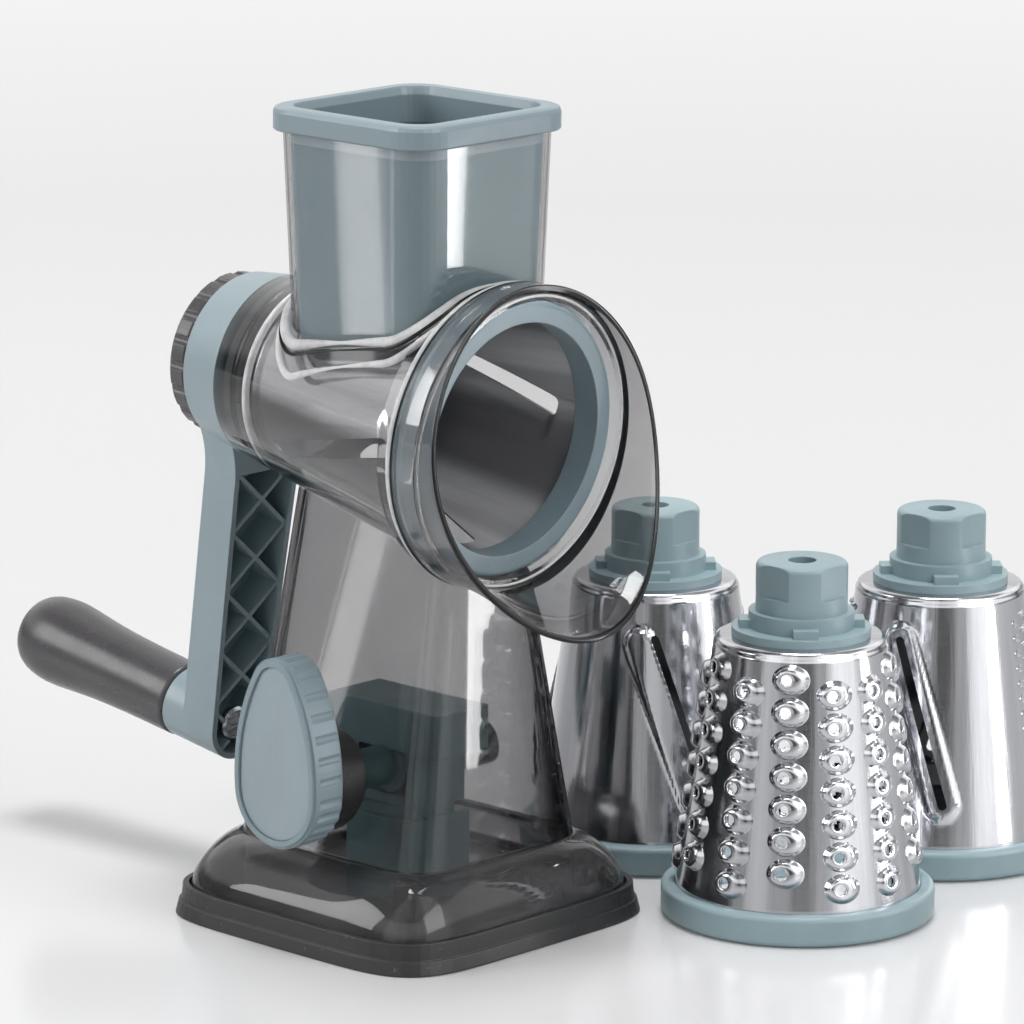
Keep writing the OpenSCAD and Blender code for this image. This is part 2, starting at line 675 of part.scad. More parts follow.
spindle_d = 7;
spindle_head_d = 13;
spindle_head_h = 3;
spindle_sink = 4;
grip_collar_d = 27;
grip_collar_h = 11;
grip_bore_gap = 0.3;
grip_end_wall = 12;
module at_grip() on_arm() translate([0, 0, -crank_len]) children();
socket_s = cone_back - flange_h - collar_h - boss_h - cut;
socket_mouth = cone_back - flange_h - collar_h - boss_round_h - run_gap;
module socket() {
  on_axis() rotate([0, -90, 0]) {
    translate([0, 0, -hub_front_s - cut])
      cylinder(d = boss_d + 2 * fit_gap, h = hub_front_s - socket_mouth + cut);
    translate([0, 0, -hub_front_s]) flat_prism(fit_gap, hub_front_s - socket_s);
    translate([0, 0, -hub_front_s]) cylinder(d = lock_d + 2 * fit_gap, h = hub_t + cut);
  }
}
module crank_arm() color(blue_plastic) difference() {
  union() {
    on_axis() turned([[0, hub_front_s], [hub_front_d / 2, hub_front_s],
      [hub_back_d / 2, hub_back_s + hub_edge], [hub_back_d / 2 - hub_edge, hub_back_s],
      [0, hub_back_s]]);
    on_arm() plate_across(arm_front, arm_t) {
      arm_outline(0);
      neck_outline(0);
    }
    at_grip() translate([arm_back + cut, 0, 0]) rotate([0, -90, 0])
      cylinder(d = grip_collar_d, h = grip_collar_h + cut);
  }
  difference() {
    on_arm() plate_across(arm_front + cut, arm_t - arm_floor + cut) channel_outline();
    on_arm() plate_across(arm_front - rib_low, arm_t - rib_low) lattice();
    at_grip() translate([arm_front - spindle_sink, 0, 0]) rotate([0, -90, 0])
      cylinder(d = spindle_head_d - 2 * cut, h = arm_t);
    on_axis() turned([[0, hub_front_s + cut], [hub_front_d / 2 + cut, hub_front_s + cut],
      [hub_back_d / 2, hub_back_s], [0, hub_back_s]]);
  }
  at_grip() translate([arm_front + cut, 0, 0]) rotate([0, -90, 0]) {
    cylinder(d = spindle_d + 2 * seam_gap, h = arm_t + grip_collar_h + 2 * cut);
    cylinder(d = spindle_head_d + 2 * fit_gap, h = spindle_sink + cut);
  }
  socket();
}

// Steel spindle with its head in the channel, and the grip that turns on it
head_x = arm_front - spindle_sink;
grip_near = arm_back - grip_collar_h - run_gap;
spindle_end = grip_near - grip_len + grip_end_wall + run_gap;
module grip_spindle() color(steel) at_grip() turned([
  [0, head_x + spindle_head_h], [spindle_head_d / 2 - cut, head_x + spindle_head_h],
  [spindle_head_d / 2, head_x + spindle_head_h - cut], [spindle_head_d / 2, head_x],
  [spindle_d / 2, head_x], [spindle_d / 2, spindle_end], [0, spindle_end]]);
grip_shares = [[0, 0.80], [0.015, 0.84], [0.12, 0.845], [0.3, 0.855], [0.5, 0.89], [0.65, 0.95],
  [0.77, 1], [0.86, 0.985], [0.93, 0.9], [0.975, 0.72], [0.995, 0.4], [1, 0]];
module grip_sleeve() color(dark_grey) at_grip() difference() {
  turned([for (p = concat([[0, 0]], grip_shares)) [p[1] * grip_d / 2, grip_near - p[0] * grip_len]]);
  turned([[0, grip_near + cut], [spindle_d / 2 + grip_bore_gap, grip_near + cut],
    [spindle_d / 2 + grip_bore_gap, spindle_end - run_gap], [0, spindle_end - run_gap]]);
}

// Fluted nut whose stud locks the drum to the crank
nut_d = 60;
nut_t = 9;
nut_dish = 1.6;
nut_flutes = 20;
flute_d = 4.4;
stud_end = socket_s + lock_depth - 2 * cut;
module lock_nut() {
  front = hub_back_s - fit_gap;
  back = front - nut_t;
  color(dark_grey) on_axis() difference() {
    turned([[0, stud_end], [lock_d / 2, stud_end], [lock_d / 2, front],
      [nut_d / 2 - cut, front], [nut_d / 2, front - cut], [nut_d / 2, back + 2 * cut],
      [nut_d / 2 - 2 * cut, back], [nut_d / 2 - 3 * nut_dish, back],
      [nut_d / 2 - 4 * nut_dish, back + nut_dish], [0, back + nut_dish]]);
    for (i = [0 : nut_flutes - 1]) rotate([360 * i / nut_flutes, 0, 0])
      translate([back - cut, 0, nut_d / 2 + flute_d / 4]) rotate([0, 90, 0])
        cylinder(d = flute_d, h = nut_t + 2 * cut, $fn = 24);
  }
}

// Suction lever: an egg-shaped outline of four arcs, its round end on the shaft
lever_r = lever_d / 2;
tip_share = 0.56;
flank_share = 3.7;
tip_r = lever_r * tip_share;
flank_r = lever_r * flank_share;
lever_back = -tower_half(lever_z, tower_d, tower_top_d) - lever_stand;
lever_front = lever_back - lever_t;
arc_steps = 12;
egg_z = (lever_len * lever_len + pow(flank_r - lever_r, 2) - pow(flank_r - tip_r, 2))
  / lever_len / 2;
egg_x = sqrt(pow(flank_r - lever_r, 2) - egg_z * egg_z);
egg_low = atan2(-egg_z, egg_x);
egg_high = atan2(lever_len - egg_z, egg_x);
function arc(x, y, r, from, to, count) = [for (i = [0 : count - 1])
  let (a = from + (to - from) * i / count) [x + r * cos(a), y + r * sin(a)]];
function egg(inset) = concat(
  arc(-egg_x, egg_z, flank_r - inset, egg_low, egg_high, arc_steps),
  arc(0, lever_len, tip_r - inset, egg_high, 180 - egg_high, arc_steps),
  arc(egg_x, egg_z, flank_r - inset, 180 - egg_high, 180 - egg_low, arc_steps),
  arc(0, 0, lever_r - inset, 180 - egg_low, 360 + egg_low, 2 * arc_steps));
module egg_plate(inset, front, t) translate([0, front + t, lever_z]) rotate([90, 0, 0])
  linear_extrude(t) polygon(egg(inset));

lever_edge = 1;
rim_t = 3;
panel_t = 1.4;
panel_sink = 0.9;
flute_step = 2;
flute_depth = 0.8;
flute_w = 4;
key_share = 0.7;
key_w = shaft_d * key_share;
key_len = 9;
module suction_lever() color(blue_plastic) difference() {
  union() {
    egg_plate(lever_edge, lever_front, lever_t);
    egg_plate(0, lever_front + lever_edge, lever_t - 2 * lever_edge);
  }
  egg_plate(rim_t, lever_front - cut, panel_t + panel_sink + cut);
  translate([0, 0, lever_z]) {
    for (i = [0 : flute_step : 5 * arc_steps - 1]) let (p = egg(-flute_w / 2 + flute_depth)[i])
      translate([p[0], 0, p[1]]) rod_y(flute_w, lever_front + rim_t, lever_back + cut);
    translate([-key_w / 2 - seam_gap, lever_back - key_len - fit_gap, -key_w / 2 - seam_gap])
      cube([key_w + 2 * seam_gap, key_len + fit_gap + cut, key_w + 2 * seam_gap]);
  }
}
module lever_panel() color(blue_plastic) egg_plate(rim_t + seam_gap, lever_front + panel_sink, panel_t);

// Round bezel on the tower's wall, with the bearing that the shaft turns in
neck_d = 15.6;
bezel_d = 43;
bezel_front = lever_back + run_gap;
bearing_gap = 0.08;
neck_end = -tower_half(lever_z, tower_d, tower_top_d) + 3 * wall_t;
sleeve_d = 14.4;
module tower_solid(inset) loft([tower_ring(dome_h, inset), tower_ring(tower_top_z, inset)]);
module lever_bezel() color(near_black) difference() {
  union() {
    difference() {
      translate([0, 0, lever_z]) rod_y(bezel_d, bezel_front, 0);
      tower_solid(-seam_gap);
    }
    translate([0, 0, lever_z]) rod_y(neck_d, bezel_front, neck_end);
  }
  translate([0, 0, lever_z]) rod_y(shaft_d + 2 * bearing_gap, bezel_front - cut, neck_end + cut);
}

// Boss inside the far wall, where the shaft ends
far_inner = tower_half(lever_z, tower_d, tower_top_d) - wall_t;
far_d = 19;
far_len = 9;
shaft_end = far_inner - 2 * wall_t;
module far_boss() color(near_black) difference() {
  intersection() {
    translate([0, 0, lever_z]) rod_y(far_d, far_inner - far_len, far_inner + far_d);
    tower_solid(wall_t + seam_gap);
  }
  translate([0, 0, lever_z]) rod_y(shaft_d + 2 * bearing_gap, 0, shaft_end + run_gap);
}

// Shaft with its cam, turned by the lever
cam_r = 8;
cam_w = 24;
cam_turn = -45;
cam_x = cam_throw * cos(cam_turn);
cam_z = cam_throw * sin(cam_turn);
module cam_shaft() color(teal_plastic) translate([0, 0, lever_z]) {
  rod_y(shaft_d, lever_back, shaft_end);
  rod_y(sleeve_d, neck_end + run_gap, -yoke_d / 2 - run_gap);
  translate([-key_w / 2, lever_back - key_len, -key_w / 2]) cube([key_w, key_len, key_w]);
  translate([cam_x, 0, cam_z]) rod_y(2 * cam_r, -cam_w / 2, cam_w / 2);
}

// Yoke that the cam lifts. It slides in the guide column and pulls the stem.
yoke_w = 54;
yoke_d = 26;
yoke_h = 16;
frame_w = 32;
window_w = 2 * (cam_r + cam_throw + fit_gap) + fit_gap;
window_low = lever_z + cam_z - cam_r - fit_gap;
window_high = lever_z + cam_z + cam_r + fit_gap;
frame_t = 4;
frame_low = window_low - frame_t;
slide_w = 26;
slide_d = 22;
slide_low = 24;
column_wall = 2.2;
column_room = 4.5;
column_top = frame_low - column_room;
module block(w, d, low, high) translate([-w / 2, -d / 2, low]) cube([w, d, high - low]);
module pull_yoke() color(teal_plastic) difference() {
  union() {
    block(yoke_w, yoke_d, window_high, window_high + yoke_h);
    block(frame_w, yoke_d, frame_low, window_high + cut);
    block(slide_w, slide_d, slide_low, frame_low + cut);
  }
  block(window_w, yoke_d + 2 * cut, window_low, window_high);
  translate([0, 0, slide_low - cut]) cylinder(d = stem_d + 2 * seam_gap, h = stem_bite + cut);
}
stem_bite = 10;
foot_z = pad_floor + fit_gap;
module pull_stem() color(steel) {
  translate([0, 0, foot_z]) cylinder(d = stem_foot_d, h = stem_foot_h);
  translate([0, 0, foot_z]) cylinder(d = stem_d, h = slide_low + stem_bite - seam_gap - foot_z);
}
module guide_column() color(teal_plastic) difference() {
  block(slide_w + 2 * (fit_gap + column_wall), slide_w + 2 * (fit_gap + column_wall),
    plate_top, column_top);
  block(slide_w + 2 * fit_gap, slide_d + 2 * fit_gap, plate_top - cut, column_top + cut);
}

foot_ring();
base_plate();
base_screws();
screw_posts();
suction_pad();
base_dome();
tower_shell();
guide_column();
lever_bezel();
far_boss();
barrel_housing();
rear_bush();
rim_seal();
splash_guard();
crank_arm();
grip_spindle();
grip_sleeve();
lock_nut();
drum_shell();
drum_rim();
drum_hub();
food_pusher();
suction_lever();
lever_panel();
cam_shaft();
pull_yoke();
pull_stem();
slicer_shell();
slicer_rim();
slicer_hub();
grater_shell();
grater_bumps();
grater_rim();
grater_hub();
shaver_shell();
shaver_teeth();
shaver_rim();
shaver_hub();
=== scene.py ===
"""Studio render of a rotary vegetable shredder with its spare drums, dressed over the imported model."""
import math

import bmesh
import bpy
from mathutils import Matrix, Vector

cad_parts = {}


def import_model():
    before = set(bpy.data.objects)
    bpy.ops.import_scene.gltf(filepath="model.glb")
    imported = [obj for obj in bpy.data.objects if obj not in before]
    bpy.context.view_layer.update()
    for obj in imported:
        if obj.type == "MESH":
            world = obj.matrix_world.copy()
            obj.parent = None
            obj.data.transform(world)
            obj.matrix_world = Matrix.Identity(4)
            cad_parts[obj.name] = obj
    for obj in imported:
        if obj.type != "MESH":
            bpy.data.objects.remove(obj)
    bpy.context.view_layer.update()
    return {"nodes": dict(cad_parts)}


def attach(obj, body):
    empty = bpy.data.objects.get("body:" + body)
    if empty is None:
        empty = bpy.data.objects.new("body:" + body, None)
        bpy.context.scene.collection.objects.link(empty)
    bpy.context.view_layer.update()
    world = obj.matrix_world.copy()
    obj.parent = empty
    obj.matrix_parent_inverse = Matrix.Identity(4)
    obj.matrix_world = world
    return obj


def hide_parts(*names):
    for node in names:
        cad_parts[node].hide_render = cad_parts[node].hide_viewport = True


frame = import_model()
NODES = frame["nodes"]

# sizes, in metres: the barrel's axis, which falls towards the mouth, and the drums on it
TURN = 2 * math.pi
AXIS_Z = 0.186
TILT = math.radians(4.6)
VIEW_TURN = math.radians(44.3)
DRUM_FRONT = 0.053
RIM_D = 0.099
RIM_H = 0.011
CONE_H = 0.092
CONE_TOP = RIM_H + CONE_H
BIG_R = 0.0445
SMALL_R = 0.031
SHEET = 0.0008
SHEET_SHARE = 0.97
TUCK = 0.0024
SHOULDER = 0.0022
HUB_SEAT_R = 0.020
CONE_LEAN = math.atan((BIG_R - SMALL_R) / CONE_H)

# the drums' slots, and the ramps beside the fitted drum's
SLOT_L = 0.066
SLOT_W = 0.0034
SLANT = math.radians(17)
LIP_SLOPE = 0.0016
LIP_MIDDLE = 0.65
FITTED_SLOT_L = 0.074
FITTED_SLOT_W = 0.0056
FITTED_WIDENED = 0.0020
FITTED_FORWARD = 0.0015
RAMP_W = 0.014
RAMP_H = 0.0014
RAMP_FROM = -0.0012
RAMP_TOP = 0.0065
RAMP_RISE = 0.0016
RAMP_END = 0.0035
RAMP_FALL = 0.999
RAMP_SHORT = 0.0025


def on_axis(s, radius=0.0, turn=0.0):
    """A point at distance s along the barrel's axis, at a radius and a turn from straight up."""
    along = Vector((math.cos(TILT), 0, -math.sin(TILT)))
    up = Vector((math.sin(TILT), 0, math.cos(TILT)))
    across = Vector((0, 1, 0))
    return Vector((0, 0, AXIS_Z)) + along * s + (up * math.cos(turn) + across * math.sin(turn)) * radius


def beside(right, near):
    """A point on the table, right of and nearer than the tower as the camera sees it."""
    return Vector((right * math.cos(VIEW_TURN) + near * math.sin(VIEW_TURN),
                   right * math.sin(VIEW_TURN) - near * math.cos(VIEW_TURN), 0))


# A drum's own frame has its mouth at z = 0 and its axis along +Z.
FITTED = Matrix.Translation(on_axis(DRUM_FRONT)) @ Matrix.Rotation(TILT - math.pi / 2, 4, "Y")
MIDDLE_APART = 0.0915 + RIM_D / 2
SIDES_GAP = 0.007
MIDDLE_GAP = 0.0029
SIDE_APART = (RIM_D + SIDES_GAP) / 2
SIDE_BEHIND = math.sqrt((RIM_D + MIDDLE_GAP) ** 2 - SIDE_APART ** 2)
SIDE_SHIFT = 0.004
SIDE_SKEW = 0.003
GRATER = Matrix.Translation(beside(MIDDLE_APART, 0))
SLICER = Matrix.Translation(beside(MIDDLE_APART + SIDE_SHIFT - SIDE_APART, -SIDE_BEHIND - SIDE_SKEW))
SHAVER = Matrix.Translation(beside(MIDDLE_APART + SIDE_SHIFT + SIDE_APART, -SIDE_BEHIND + SIDE_SKEW))


# node materials
def linear(rgb):
    """Linear colour of an 0 to 255 screen colour."""
    return tuple((c / 255 / 12.92) if c / 255 <= 0.04045 else ((c / 255 + 0.055) / 1.055) ** 2.4
                 for c in rgb) + (1.0,)


class Look:
    """A material under construction."""

    def __init__(self, name):
        self.mat = bpy.data.materials.new(name)
        self.mat.use_nodes = True
        self.tree = self.mat.node_tree
        self.tree.nodes.clear()
        self.out = self.add("ShaderNodeOutputMaterial")
        self.place = self.add("ShaderNodeTexCoord").outputs["Object"]

    def add(self, kind, **values):
        node = self.tree.nodes.new(kind)
        for key, value in values.items():
            setattr(node, key, value)
        return node

    def feed(self, node, **inputs):
        for key, value in inputs.items():
            self.put(node.inputs[key.replace("_", " ")], value)
        return node

    def put(self, socket, value):
        if isinstance(value, bpy.types.NodeSocket):
            self.tree.links.new(value, socket)
        else:
            socket.default_value = value

    def math(self, operation, a, b=0.5):
        node = self.add("ShaderNodeMath", operation=operation)
        self.put(node.inputs[0], a)
        self.put(node.inputs[1], b)
        return node.outputs[0]

    def span(self, value, low, high, to_low, to_high, smooth=False):
        node = self.add("ShaderNodeMapRange", interpolation_type="SMOOTHSTEP" if smooth else "LINEAR")
        for i, v in enumerate((value, low, high, to_low, to_high)):
            self.put(node.inputs[i], v)
        return node.outputs[0]

    def mix(self, factor, a, b):
        node = self.add("ShaderNodeMix", data_type="RGBA")
        self.put(node.inputs[0], factor)
        self.put(node.inputs[6], a)
        self.put(node.inputs[7], b)
        return node.outputs[2]

    def noise(self, scale, detail=3.0, rough=0.5, at=None):
        node = self.add("ShaderNodeTexNoise")
        self.put(node.inputs["Vector"], at or self.place)
        node.inputs["Scale"].default_value = scale
        node.inputs["Detail"].default_value = detail
        node.inputs["Roughness"].default_value = rough
        return node.outputs["Fac"]

    def stretched(self, y, z):
        """The object's place, for a pattern that runs finer or coarser along Y and Z than along X."""
        node = self.add("ShaderNodeVectorMath", operation="MULTIPLY")
        self.put(node.inputs[0], self.place)
        node.inputs[1].default_value = (1, y, z)
        return node.outputs[0]

    def soft_edges(self, radius):
        """Normals rounded over the edges, and how much they turned."""
        bevel = self.add("ShaderNodeBevel", samples=6)
        bevel.inputs["Radius"].default_value = radius
        true = self.add("ShaderNodeNewGeometry").outputs["Normal"]
        dot = self.add("ShaderNodeVectorMath", operation="DOT_PRODUCT")
        self.put(dot.inputs[0], bevel.outputs[0])
        self.put(dot.inputs[1], true)
        return bevel.outputs[0], self.span(dot.outputs["Value"], 0.995, 0.9, 0.0, 1.0)

    def bump(self, height, strength, distance, normal=None):
        node = self.add("ShaderNodeBump")
        node.inputs["Strength"].default_value = strength
        node.inputs["Distance"].default_value = distance
        self.put(node.inputs["Height"], height)
        if normal is not None:
            self.put(node.inputs["Normal"], normal)
        return node.outputs[0]

    def finish(self, shader):
        self.tree.links.new(shader, self.out.inputs["Surface"])
        return self.mat


SCUFF = 0.12
GRAIN = 0.10
EDGE_ROUND = 0.0007
RECESS_DEPTH = 0.022
SPECK = (0.9, 0.92, 0.94, 1)


def plastic(name, rgb, rough=0.36, mottle=0.03, edge_wear_and_highlight=0.16, specular=0.5, painted_recess_shading=None, painted_shade_facing=None,
            above=None):
    """Moulded plastic: faint flow mottling, a fine texture, soft edges lighter than the rest, partly
    rubbed pale and partly a painted highlight.
    deep is a colour painted into its recesses by how enclosed they are: painted shading. facing is a
    direction and the colour painted on faces turned that way: painted shade.
    above is a height and the colour from there up."""
    look = Look(name)
    base = linear(rgb)
    pale = tuple(min(1.0, c * (1 + mottle * 3)) for c in base[:3]) + (1.0,)
    dark = tuple(c * (1 - mottle * 3) for c in base[:3]) + (1.0,)
    normal, rubbed_and_highlit_edges = look.soft_edges(EDGE_ROUND)
    flow = look.noise(24, 4, 0.6, look.stretched(1, 0.45))
    colour = look.mix(look.span(flow, 0.3, 0.7, 0.0, 1.0), dark, pale)
    speck = look.span(look.noise(520, 2), 0.66, 0.74, 0.0, 0.06)
    colour = look.mix(speck, colour, SPECK)
    # Recesses take their own colour by how enclosed they are: painted shading.
    if painted_recess_shading:
        painted_recess_ao = look.add("ShaderNodeAmbientOcclusion", samples=8, only_local=True)
        painted_recess_ao.inputs["Distance"].default_value = RECESS_DEPTH
        colour = look.mix(look.span(painted_recess_ao.outputs["AO"], 0.25, 0.75, 1.0, 0.0, smooth=True), colour,
                          linear(painted_recess_shading))
    if above:
        parts = look.add("ShaderNodeSeparateXYZ")
        look.put(parts.inputs[0], look.place)
        high = look.math("GREATER_THAN", parts.outputs[2], above[0])
        colour = look.mix(high, colour, linear(above[1]))
    # Faces turned one way take their own colour: painted shade.
    if painted_shade_facing:
        turned = look.add("ShaderNodeVectorMath", operation="DOT_PRODUCT")
        look.put(turned.inputs[0], look.add("ShaderNodeNewGeometry").outputs["True Normal"])
        turned.inputs[1].default_value = painted_shade_facing[0]
        toward = look.span(turned.outputs["Value"], 0.3, 0.6, 0.0, 1.0)
        colour = look.mix(toward, colour, linear(painted_shade_facing[1]))
    # Edges are made lighter, partly rubbed pale and partly a painted highlight.
    rubbed_edge_highlight_colour = tuple(min(1.0, c * 1.7 + 0.05) for c in base[:3]) + (1.0,)
    colour = look.mix(look.math("MULTIPLY", rubbed_and_highlit_edges, edge_wear_and_highlight), colour, rubbed_edge_highlight_colour)
    shader = look.add("ShaderNodeBsdfPrincipled")
    rub = look.noise(70, 4, 0.65, look.stretched(1, 2.2))
    shine = look.span(rub, 0.3, 0.72, rough - SCUFF * 0.5, rough + SCUFF * 0.5)
    fine = look.noise(1300, 2, 0.5)
    normal = look.bump(fine, GRAIN, 0.00006, normal)
    wave = look.noise(60, 2, 0.5)
    normal = look.bump(wave, 0.1, 0.0006, normal)
    look.feed(shader, Base_Color=colour, Roughness=shine, Normal=normal)
    shader.inputs["Specular IOR Level"].default_value = specular
    return look.finish(shader.outputs[0])


CLEAR_ROUGH = 0.03
CLEAR_WOBBLE = 0.03
CLEAR_IOR = 1.12
COAT_IOR = 1.45
SMOKE_TINT = (0.36, 0.35, 0.36, 1)
SHADED_X = (0.032, 0.036)
SHADED_Y = (0.0, 0.042)
SHADED_RGB = (24, 24, 25)


def clear(name, density, haze_and_highlight=0.03, haze_and_highlight_rgb=(150, 150, 152), shade=0.0):
    """Smoke-tinted clear plastic that darkens with the thickness seen. Lamps shine through it.
    haze is how much of a milky film covers it; strong and pale, the film is a painted highlight.
    shade paints a dark film on the wall on the mouth's side towards the back: a painted dark reflection."""
    look = Look(name)
    wave = look.noise(30, 2, 0.5)
    normal = look.bump(wave, CLEAR_WOBBLE, 0.0010)
    glass = look.add("ShaderNodeBsdfPrincipled")
    smear = look.noise(45, 4, 0.7)
    shine = look.span(smear, 0.35, 0.8, CLEAR_ROUGH, CLEAR_ROUGH + 0.05)
    look.feed(glass, Roughness=shine, Normal=normal)
    glass.inputs["Base Color"].default_value = (1, 1, 1, 1)
    glass.inputs["Transmission Weight"].default_value = 1.0
    glass.inputs["IOR"].default_value = CLEAR_IOR
    glass.inputs["Coat Weight"].default_value = 1.0
    glass.inputs["Coat Roughness"].default_value = CLEAR_ROUGH
    glass.inputs["Coat IOR"].default_value = COAT_IOR
    # The milky film; strong and pale, it is a painted highlight.
    film = look.add("ShaderNodeBsdfDiffuse")
    film.inputs["Color"].default_value = linear(haze_and_highlight_rgb)
    film_haze_highlight_shade = look.add("ShaderNodeMixShader")
    cover = look.span(smear, 0.3, 0.75, haze_and_highlight * 0.5, haze_and_highlight * 1.5)
    # A dark film on the wall on the mouth's side towards the back: a painted dark reflection.
    if shade:
        parts = look.add("ShaderNodeSeparateXYZ")
        look.put(parts.inputs[0], look.place)
        x, y, _ = parts.outputs
        dark = look.math("MULTIPLY", look.span(y, *SHADED_Y, 0.0, shade, smooth=True),
                         look.span(x, *SHADED_X, 0.0, 1.0))
        cover = look.math("MAXIMUM", cover, dark)
        look.put(film.inputs["Color"], look.mix(look.span(dark, 0.0, 0.06, 0.0, 1.0), linear(haze_and_highlight_rgb),
                                                linear(SHADED_RGB)))
    look.put(film_haze_highlight_shade.inputs[0], cover)
    look.put(film_haze_highlight_shade.inputs[1], glass.outputs[0])
    look.put(film_haze_highlight_shade.inputs[2], film.outputs[0])
    through = look.add("ShaderNodeBsdfTransparent")
    path = look.add("ShaderNodeLightPath")
    both = look.add("ShaderNodeMixShader")
    look.put(both.inputs[0], path.outputs["Is Shadow Ray"])
    look.put(both.inputs[1], film_haze_highlight_shade.outputs[0])
    look.put(both.inputs[2], through.outputs[0])
    smoke_depth = look.add("ShaderNodeVolumeAbsorption")
    smoke_depth.inputs["Color"].default_value = SMOKE_TINT
    smoke_depth.inputs["Density"].default_value = density
    look.put(look.out.inputs["Volume"], smoke_depth.outputs[0])
    return look.finish(both.outputs[0])


BAND_COUNT = 4.0
STEEL_REFLECTION_DARK = (70, 70, 72)
STEEL_PAINTED_SHADE = (46, 60, 62)


def drum_steel(name, place, tone=(204, 205, 209), rough=0.10, streak=0.10, wide=1.6, depth=0.25,
               painted_recess_shading=False, painted_reflection_bands=None, metal=1.0):
    """Polished sheet steel, brushed round the cone, with the streaks that its rolling leaves in its
    relief and roughness, while in its colour they are a painted reflection. streak is their relief,
    and wide and depth are the scale and the strength of the broad darker clouds, a painted dark
    reflection. bands is the turn, in degrees, at which one of four pale stripes lies, and the tone
    between them: painted reflection stripes. deep paints shade into the closed end."""
    look = Look(name)
    inverse = place.inverted()
    turn = look.add("ShaderNodeVectorRotate", rotation_type="EULER_XYZ")
    shift = look.add("ShaderNodeVectorMath", operation="ADD")
    look.put(shift.inputs[0], look.place)
    shift.inputs[1].default_value = -place.translation
    look.put(turn.inputs["Vector"], shift.outputs[0])
    turn.inputs["Rotation"].default_value = inverse.to_euler("XYZ")
    parts = look.add("ShaderNodeSeparateXYZ")
    look.put(parts.inputs[0], turn.outputs[0])
    x, y, z = parts.outputs
    angle = look.math("ARCTAN2", y, x)
    # The streaks read a point on a circle, so that they meet where the angle wraps round.
    rings = []
    for along in (1.5, 700.0):
        ring = look.add("ShaderNodeCombineXYZ")
        look.put(ring.inputs[0], look.math("COSINE", angle))
        look.put(ring.inputs[1], look.math("SINE", angle))
        look.put(ring.inputs[2], look.math("MULTIPLY", z, along))
        rings.append(ring.outputs[0])
    streaks = look.noise(9, 5, 0.62, rings[0])
    brushed = look.noise(5, 4, 0.7, rings[1])
    broad = look.noise(wide, 1, 0.4, rings[0])
    base = linear(tone)
    dark = tuple(c * 0.88 for c in base[:3]) + (1.0,)
    # The streak colour and the broad dark clouds are painted reflection.
    colour = look.mix(look.span(streaks, 0.35, 0.65, 0.0, 1.0), dark, base)
    colour = look.mix(look.span(broad, 0.40, 0.60, depth, 0.0, smooth=True), colour, linear(STEEL_REFLECTION_DARK))
    # Four pale stripes round the cone: painted reflection.
    if painted_reflection_bands:
        past = look.math("SUBTRACT", angle, math.radians(painted_reflection_bands[0]))
        wave = look.math("COSINE", look.math("MULTIPLY", past, BAND_COUNT))
        colour = look.mix(look.span(wave, -0.55, 0.45, 1.0, 0.0, smooth=True), colour, linear(painted_reflection_bands[1]))
    # Darker towards the closed end: painted shade.
    if painted_recess_shading:
        colour = look.mix(look.span(z, 0.055, 0.090, 0.0, 0.75, smooth=True), colour, linear(STEEL_PAINTED_SHADE))
    shader = look.add("ShaderNodeBsdfPrincipled")
    shine = look.math("ADD", look.span(brushed, 0.3, 0.7, rough - 0.02, rough + 0.03),
                      look.span(streaks, 0.4, 0.7, 0.0, 0.06))
    normal = look.bump(streaks, streak, 0.0009)
    normal = look.bump(brushed, 0.03, 0.00002, normal)
    look.feed(shader, Base_Color=colour, Roughness=shine, Normal=normal)
    shader.inputs["Metallic"].default_value = metal
    return look.finish(shader.outputs[0])


TURNED_ROUGH = 0.28


def turned_steel(name):
    """Steel with the fine rings of a lathe."""
    look = Look(name)
    normal, _ = look.soft_edges(0.0004)
    rings = look.noise(900, 3, 0.6, look.stretched(0.15, 1))
    colour = look.mix(look.span(rings, 0.3, 0.7, 0.0, 1.0), linear((150, 152, 156)),
                      linear((205, 206, 208)))
    shader = look.add("ShaderNodeBsdfPrincipled")
    shine = look.span(rings, 0.3, 0.7, TURNED_ROUGH - 0.08, TURNED_ROUGH + 0.08)
    look.feed(shader, Base_Color=colour, Roughness=shine, Normal=look.bump(rings, 0.1, 0.0001, normal))
    shader.inputs["Metallic"].default_value = 1.0
    return look.finish(shader.outputs[0])


def rubber(name):
    """Dull dark rubber."""
    look = Look(name)
    fine = look.noise(900, 4, 0.7)
    colour = look.mix(look.span(fine, 0.3, 0.7, 0.0, 1.0), linear((26, 26, 27)), linear((44, 44, 45)))
    shader = look.add("ShaderNodeBsdfPrincipled")
    look.feed(shader, Base_Color=colour, Roughness=look.span(look.noise(80), 0.3, 0.7, 0.55, 0.75),
              Normal=look.bump(fine, 0.3, 0.0001))
    return look.finish(shader.outputs[0])


# the looks of the pieces
BLUE = (139, 157, 164)
PUSHER_RIM_Z = 0.2822
MOUTHWARD = tuple(on_axis(1) - on_axis(0))
blue = plastic("blue_satin_plastic", BLUE)
blue_pusher = plastic("pusher_plastic", (100, 123, 130), above=(PUSHER_RIM_Z, (141, 159, 166)))
blue_spare = plastic("blue_spare_plastic", (156, 180, 186), rough=0.42)
blue_rim = plastic("blue_rim_plastic", (138, 158, 166), rough=0.34)
blue_face = plastic("lever_face_plastic", (159, 174, 180), rough=0.42)
teal = plastic("dark_teal_plastic", (66, 96, 100), rough=0.4, edge_wear_and_highlight=0.2)
